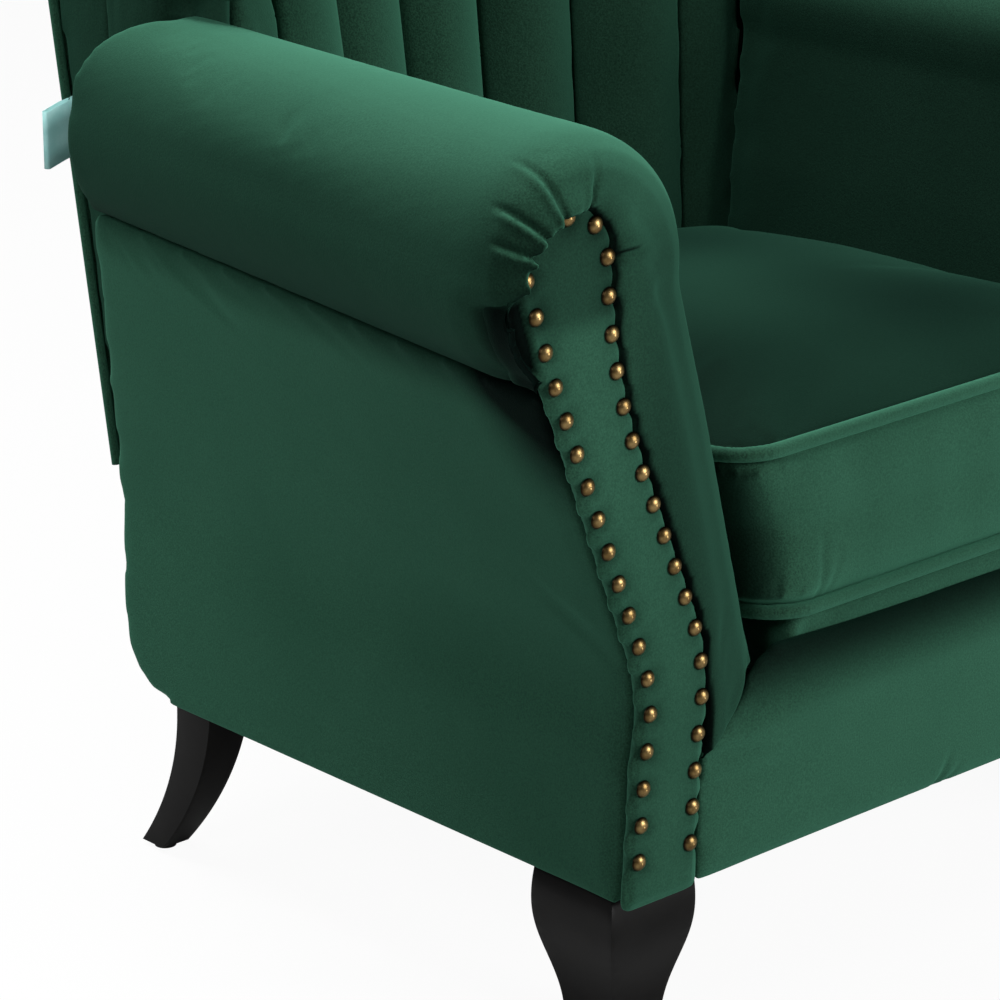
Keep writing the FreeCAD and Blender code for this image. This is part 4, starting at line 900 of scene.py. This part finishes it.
turned_shade = border * ease_in(0.25, 0.85, np.abs(lean[:, 0]))
upright = np.array((0, math.sin(CUSHION_TILT), math.cos(CUSHION_TILT)))
welt_level = (points_of(welts.data) @ upright).min() + 0.0035
below = ease_in(0.0, 0.010, welt_level - rows @ upright)
centre = rows[:, :2].mean(axis=0)
rows[:, :2] = centre + (rows[:, :2] - centre) * (1 - 0.03 * below)[:, None]
put_points(cushion.data, rows)
set_painted_shade(cushion, np.maximum(top * (0.82 + 0.13 * ripple(rows, (7, 7, 7))) + 0.7 * turned_shade, below))
put_points(welts.data, points_of(welts.data) + normals_of(welts.data) * WELT_RISE)
print("welts raised by", WELT_RISE * 1000, "mm; lower welt at", round(float(welt_level), 4), "m")

# %% [markdown]
# The foot of each wing drops behind the roll of the arm, so that no timber shows between them. Only the
# part behind the arm's notch is drawn down; the front of the wing stays clear of the roll.

# %% Foot of the wings
PIVOT = Vector((0, 0.1874, 0.285))
RAKE = math.radians(7)
FOOT_DROP = 0.30


def behind_face(rows):
    """Distance of each point behind the front face of the raked back's frame."""
    return (rows[:, 1] - PIVOT.y) * math.cos(RAKE) - (rows[:, 2] - PIVOT.z) * math.sin(RAKE)


for side in SIDES:
    wing = of_piece(side + "_wing_cover")
    rows = points_of(wing.data)
    low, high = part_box(side + "_wing")
    foot = 1 - ease_in(0.004, 0.016, rows[:, 2] - low[2])
    depth = behind_face(rows)
    slot = ease_in(-0.080, -0.068, depth) * (1 - ease_in(-0.022, -0.012, depth))
    rows[:, 2] -= FOOT_DROP * foot * slot
    put_points(wing.data, rows)
    # Painted shade on the wing covers and the back bands, which lie behind the roll of the arm.
    set_painted_shade(wing, np.full(len(rows), 0.6))
    band = of_piece(side + "_back_band")
    set_painted_shade(band, np.full(len(band.data.vertices), 0.6))
print("wing feet drawn down by", round(FOOT_DROP * 1000), "mm behind the arms")

# %% [markdown]
# Inside the back a painted shade changes from channel to channel and grows towards the far side, which lies
# in the shade of the wing and is the darkest.

# %% Painted shade on the inside back
INSIDE_BACK_SHADE = {"flute_1": 0.0, "flute_2": 0.05, "flute_3": 0.08, "flute_4": 0.35, "flute_5": 0.45,
       "left_inner_wing": 0.2, "right_inner_wing": 0.5}
for piece_name, value in INSIDE_BACK_SHADE.items():
    piece = of_piece(piece_name)
    set_painted_shade(piece, np.full(len(piece.data.vertices), value))
print("pile laid on", len(INSIDE_BACK_SHADE), "pieces of the inside back")

# %% [markdown]
# The legs are shaped from solid beech and lacquered black. A real edge is never sharp, so the CAD leg is
# welded and its edges are rounded, which catches a thin line of light.

# %% Legs
EDGE_ROUND = 0.0015


def eased_leg(name, node_name):
    """A leg with rounded edges."""
    bm = bmesh.new()
    bm.from_mesh(nodes[node_name].data)
    bmesh.ops.remove_doubles(bm, verts=bm.verts, dist=WELD)
    bmesh.ops.recalc_face_normals(bm, faces=bm.faces)
    sharp = [e for e in bm.edges if len(e.link_faces) == 2 and e.calc_face_angle() > math.radians(30)]
    bmesh.ops.bevel(bm, geom=sharp, offset=EDGE_ROUND, offset_type="OFFSET", affect="EDGES", segments=3,
                    profile=0.5, material=-1, clamp_overlap=True)
    mesh = bpy.data.meshes.new(name)
    bm.to_mesh(mesh)
    bm.free()
    mesh.polygons.foreach_set("use_smooth", [True] * len(mesh.polygons))
    mesh.materials.append(lacquer)
    leg = bpy.data.objects.new(name, mesh)
    scene.collection.objects.link(leg)
    leg.data.set_sharp_from_angle(angle=math.radians(50))
    return leg


for side in SIDES:
    for end in ("front", "rear"):
        leg = eased_leg(f"{side}_{end}_foot", f"{side}_{end}_leg")
        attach(leg, "base")
        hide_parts(f"{side}_{end}_leg")
print("legs eased,", len(leg.data.polygons), "faces each")

# %% [markdown]
# Each soft piece is told which body it belongs to, so that it moves with the chair, and which CAD node it
# stands for, so that the plain solid is no longer shown.

# %% Bodies and finishes of the soft pieces
STANDS_FOR = {"front_band": ("front_cover", "base"), "rear_band": ("rear_cover", "base"),
              "padded_deck": ("seat_deck", "base"), "top_roll": ("top_border", "back"),
              "outer_back": ("outside_back", "back"), "seat_cushion": ("cushion_cover", "cushion"),
              "cushion_welts": ("cushion_piping", "cushion")}
for side in SIDES:
    STANDS_FOR[side + "_arm_cover"] = (side + "_arm_pad", "base")
    STANDS_FOR[side + "_outside_arm"] = (side + "_side_panel", "base")
    STANDS_FOR[side + "_arm_facing"] = (side + "_facing", "base")
    STANDS_FOR[side + "_wing_cover"] = (side + "_wing", "back")
    STANDS_FOR[side + "_back_band"] = (side + "_side_band", "back")
    STANDS_FOR[side + "_inner_wing"] = (side + "_inside_wing", "back")
for i, channel in enumerate(CHANNELS, start=1):
    STANDS_FOR[f"flute_{i}"] = (channel, "back")
for piece_name, (node_name, body) in STANDS_FOR.items():
    piece = of_piece(piece_name)
    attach(piece, body)
    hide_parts(node_name)
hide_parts("cushion_core")
print(len(STANDS_FOR), "soft pieces placed")

# %% [markdown]
# A welt runs round the outside back, where the panel meets the sides. It is a cord wrapped in the same
# velvet, so a round tube along that edge is all it needs. A curve with a round bevel makes the tube, and
# it is turned into a mesh at once. The edge is given in the raked frame of the back, where it is simple.

# %% Welt of the back
def in_chair(x, depth, level):
    """A point given in the raked frame of the back, in the chair's own frame."""
    return Vector((x, PIVOT.y + depth * math.cos(RAKE) + level * math.sin(RAKE),
                   PIVOT.z - depth * math.sin(RAKE) + level * math.cos(RAKE)))


def cord_along(name, path, radius):
    """A round cord along a path."""
    line = bpy.data.curves.new(name, "CURVE")
    line.dimensions = "3D"
    line.bevel_depth = radius
    line.bevel_resolution = 3
    run = line.splines.new("POLY")
    run.points.add(len(path) - 1)
    for point, place in zip(run.points, path):
        point.co = (*place, 1)
    sketch = bpy.data.objects.new(name, line)
    scene.collection.objects.link(sketch)
    graph = bpy.context.evaluated_depsgraph_get()
    mesh = bpy.data.meshes.new_from_object(sketch.evaluated_get(graph))
    bpy.data.objects.remove(sketch)
    mesh.polygons.foreach_set("use_smooth", [True] * len(mesh.polygons))
    cord = bpy.data.objects.new(name, mesh)
    scene.collection.objects.link(cord)
    return cord


SEAM_DEPTH, WELT_RADIUS = 0.0505, 0.0036
side_run = [(0.2985 + 0.035 * z, z) for z in np.linspace(0.004, 0.665, 40)]
top_run = [(x, 0.722 - 0.05 * (x / 0.3205) ** 2) for x in np.linspace(0.316, -0.316, 60)]
far_run = [(-x, z) for x, z in reversed(side_run)]
path = [in_chair(x, SEAM_DEPTH, z) for x, z in side_run + top_run + far_run]
back_welt = cord_along("back_welt", path, WELT_RADIUS)
back_welt.data.materials.append(velvet)
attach(back_welt, "back")
print("welt of", len(path), "points,", len(back_welt.data.polygons), "faces")

# %% [markdown]
# The small ribbon at the left is sewn into the same seam: a plain strip that runs out, turns back on
# itself and returns. One upright edge is extruded outwards in two steps, spun through half a turn and
# extruded back again.

# %% Ribbon loop
low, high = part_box("ribbon_tab")
bm = bmesh.new()
root = (high[0] + 0.004, (low[1] + high[1]) / 2 - 0.001)
strip = [bm.edges.new([bm.verts.new((*root, z)) for z in (low[2], high[2])])]
for step in ((-0.014, -0.001, -0.003), (-0.013, 0.0, -0.004)):
    grown = bmesh.ops.extrude_edge_only(bm, edges=strip)["geom"]
    strip = [e for e in grown if isinstance(e, bmesh.types.BMEdge) and all(v in grown for v in e.verts)
             and not e.link_faces[1:]]
    strip = [e for e in strip if abs(e.verts[0].co.z - e.verts[1].co.z) > 0.01]
    bmesh.ops.translate(bm, verts=list({v for e in strip for v in e.verts}), vec=step)
turn_at = sum((v.co for e in strip for v in e.verts), Vector()) / 2 + Vector((0, 0.0022, 0))
bent = bmesh.ops.spin(bm, geom=strip, cent=turn_at, axis=(0, 0, 1), angle=-math.pi, steps=8, use_merge=False)
strip = [e for e in bent["geom_last"] if isinstance(e, bmesh.types.BMEdge)]
for step in ((0.013, 0.0, 0.004), (0.014, -0.001, 0.003)):
    grown = bmesh.ops.extrude_edge_only(bm, edges=strip)["geom"]
    strip = [e for e in grown if isinstance(e, bmesh.types.BMEdge)]
    bmesh.ops.translate(bm, verts=list({v for e in strip for v in e.verts}), vec=step)
bmesh.ops.subdivide_edges(bm, edges=bm.edges, cuts=2, use_grid_fill=True)
bmesh.ops.solidify(bm, geom=bm.faces, thickness=0.0005)
mesh = bpy.data.meshes.new("ribbon_loop")
bm.to_mesh(mesh)
bm.free()
mesh.polygons.foreach_set("use_smooth", [True] * len(mesh.polygons))
mesh.materials.append(ribbon)
loop = bpy.data.objects.new("ribbon_loop", mesh)
scene.collection.objects.link(loop)
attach(loop, "back")
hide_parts("ribbon_tab")
print("ribbon", len(mesh.polygons), "faces")

# %% [markdown]
# Underneath, a thin black lining is stapled to the rails, so that no dust falls out. The lower side of the
# CAD sheet gives the cut, a plain rectangle. It is sliced into a grid and hangs a few millimetres in the
# middle, as stapled cloth does.

# %% Lining under the seat
SAG = 0.005

bm = bmesh.new()
bm.from_mesh(nodes["dust_cover"].data)
bmesh.ops.remove_doubles(bm, verts=bm.verts, dist=WELD)
bmesh.ops.recalc_face_normals(bm, faces=bm.faces)
bmesh.ops.delete(bm, geom=[f for f in bm.faces if f.normal.z > -0.5], context="FACES")
low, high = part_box("dust_cover")
middle, half = (low + high) / 2, (high - low) / 2
for axis, direction in ((0, (1, 0, 0)), (1, (0, 1, 0))):
    for place in np.linspace(low[axis], high[axis], 20)[1:-1]:
        point = [place if i == axis else 0 for i in range(3)]
        everything = bm.verts[:] + bm.edges[:] + bm.faces[:]
        bmesh.ops.bisect_plane(bm, geom=everything, plane_co=point, plane_no=direction)
cut_area = sum(f.calc_area() for f in bm.faces)
for v in bm.verts:
    across, along = (v.co.x - middle.x) / half.x, (v.co.y - middle.y) / half.y
    v.co.z -= SAG * (1 - across ** 2) * (1 - along ** 2)
bmesh.ops.solidify(bm, geom=bm.faces, thickness=0.0006)
mesh = bpy.data.meshes.new("under_lining")
bm.to_mesh(mesh)
bm.free()
mesh.polygons.foreach_set("use_smooth", [True] * len(mesh.polygons))
mesh.materials.append(lining)
under_lining = bpy.data.objects.new("under_lining", mesh)
scene.collection.objects.link(under_lining)
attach(under_lining, "base")
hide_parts("dust_cover")
print("lining", len(mesh.polygons), "faces,", round(cut_area, 3), "square metres")

# %% [markdown]
# The floor is a pale sheet under the chair. It is white enough to run into the background, and it keeps
# the chair's shadow. For the camera it glows a little, which changes nothing on the velvet.

# %% Floor
bm = bmesh.new()
bmesh.ops.create_grid(bm, x_segments=1, y_segments=1, size=6.0)
floor_mesh = bpy.data.meshes.new("floor")
bm.to_mesh(floor_mesh)
bm.free()
floor = bpy.data.objects.new("floor", floor_mesh)
scene.collection.objects.link(floor)
paper, shader, colour, surface = finish_of(
    "floor_paper", (0.46, 0.46, 0.46), (0.48, 0.48, 0.48), clouds=2.0, grain=80.0, bump=0.02)
shader.inputs["Roughness"].default_value = 0.9
tree = paper.node_tree
glow = tree.nodes.new("ShaderNodeEmission")
glow.inputs["Strength"].default_value = 1.05
ray = tree.nodes.new("ShaderNodeLightPath")
share = tree.nodes.new("ShaderNodeMath")
share.operation = "MULTIPLY"
share.inputs[1].default_value = 0.9
mixed = tree.nodes.new("ShaderNodeMixShader")
tree.links.new(ray.outputs["Is Camera Ray"], share.inputs[0])
tree.links.new(share.outputs["Value"], mixed.inputs["Fac"])
tree.links.new(shader.outputs["BSDF"], mixed.inputs[1])
tree.links.new(glow.outputs["Emission"], mixed.inputs[2])
tree.links.new(mixed.outputs["Shader"], tree.nodes["Material Output"].inputs["Surface"])
floor.data.materials.append(paper)
print("floor", floor.dimensions[:])
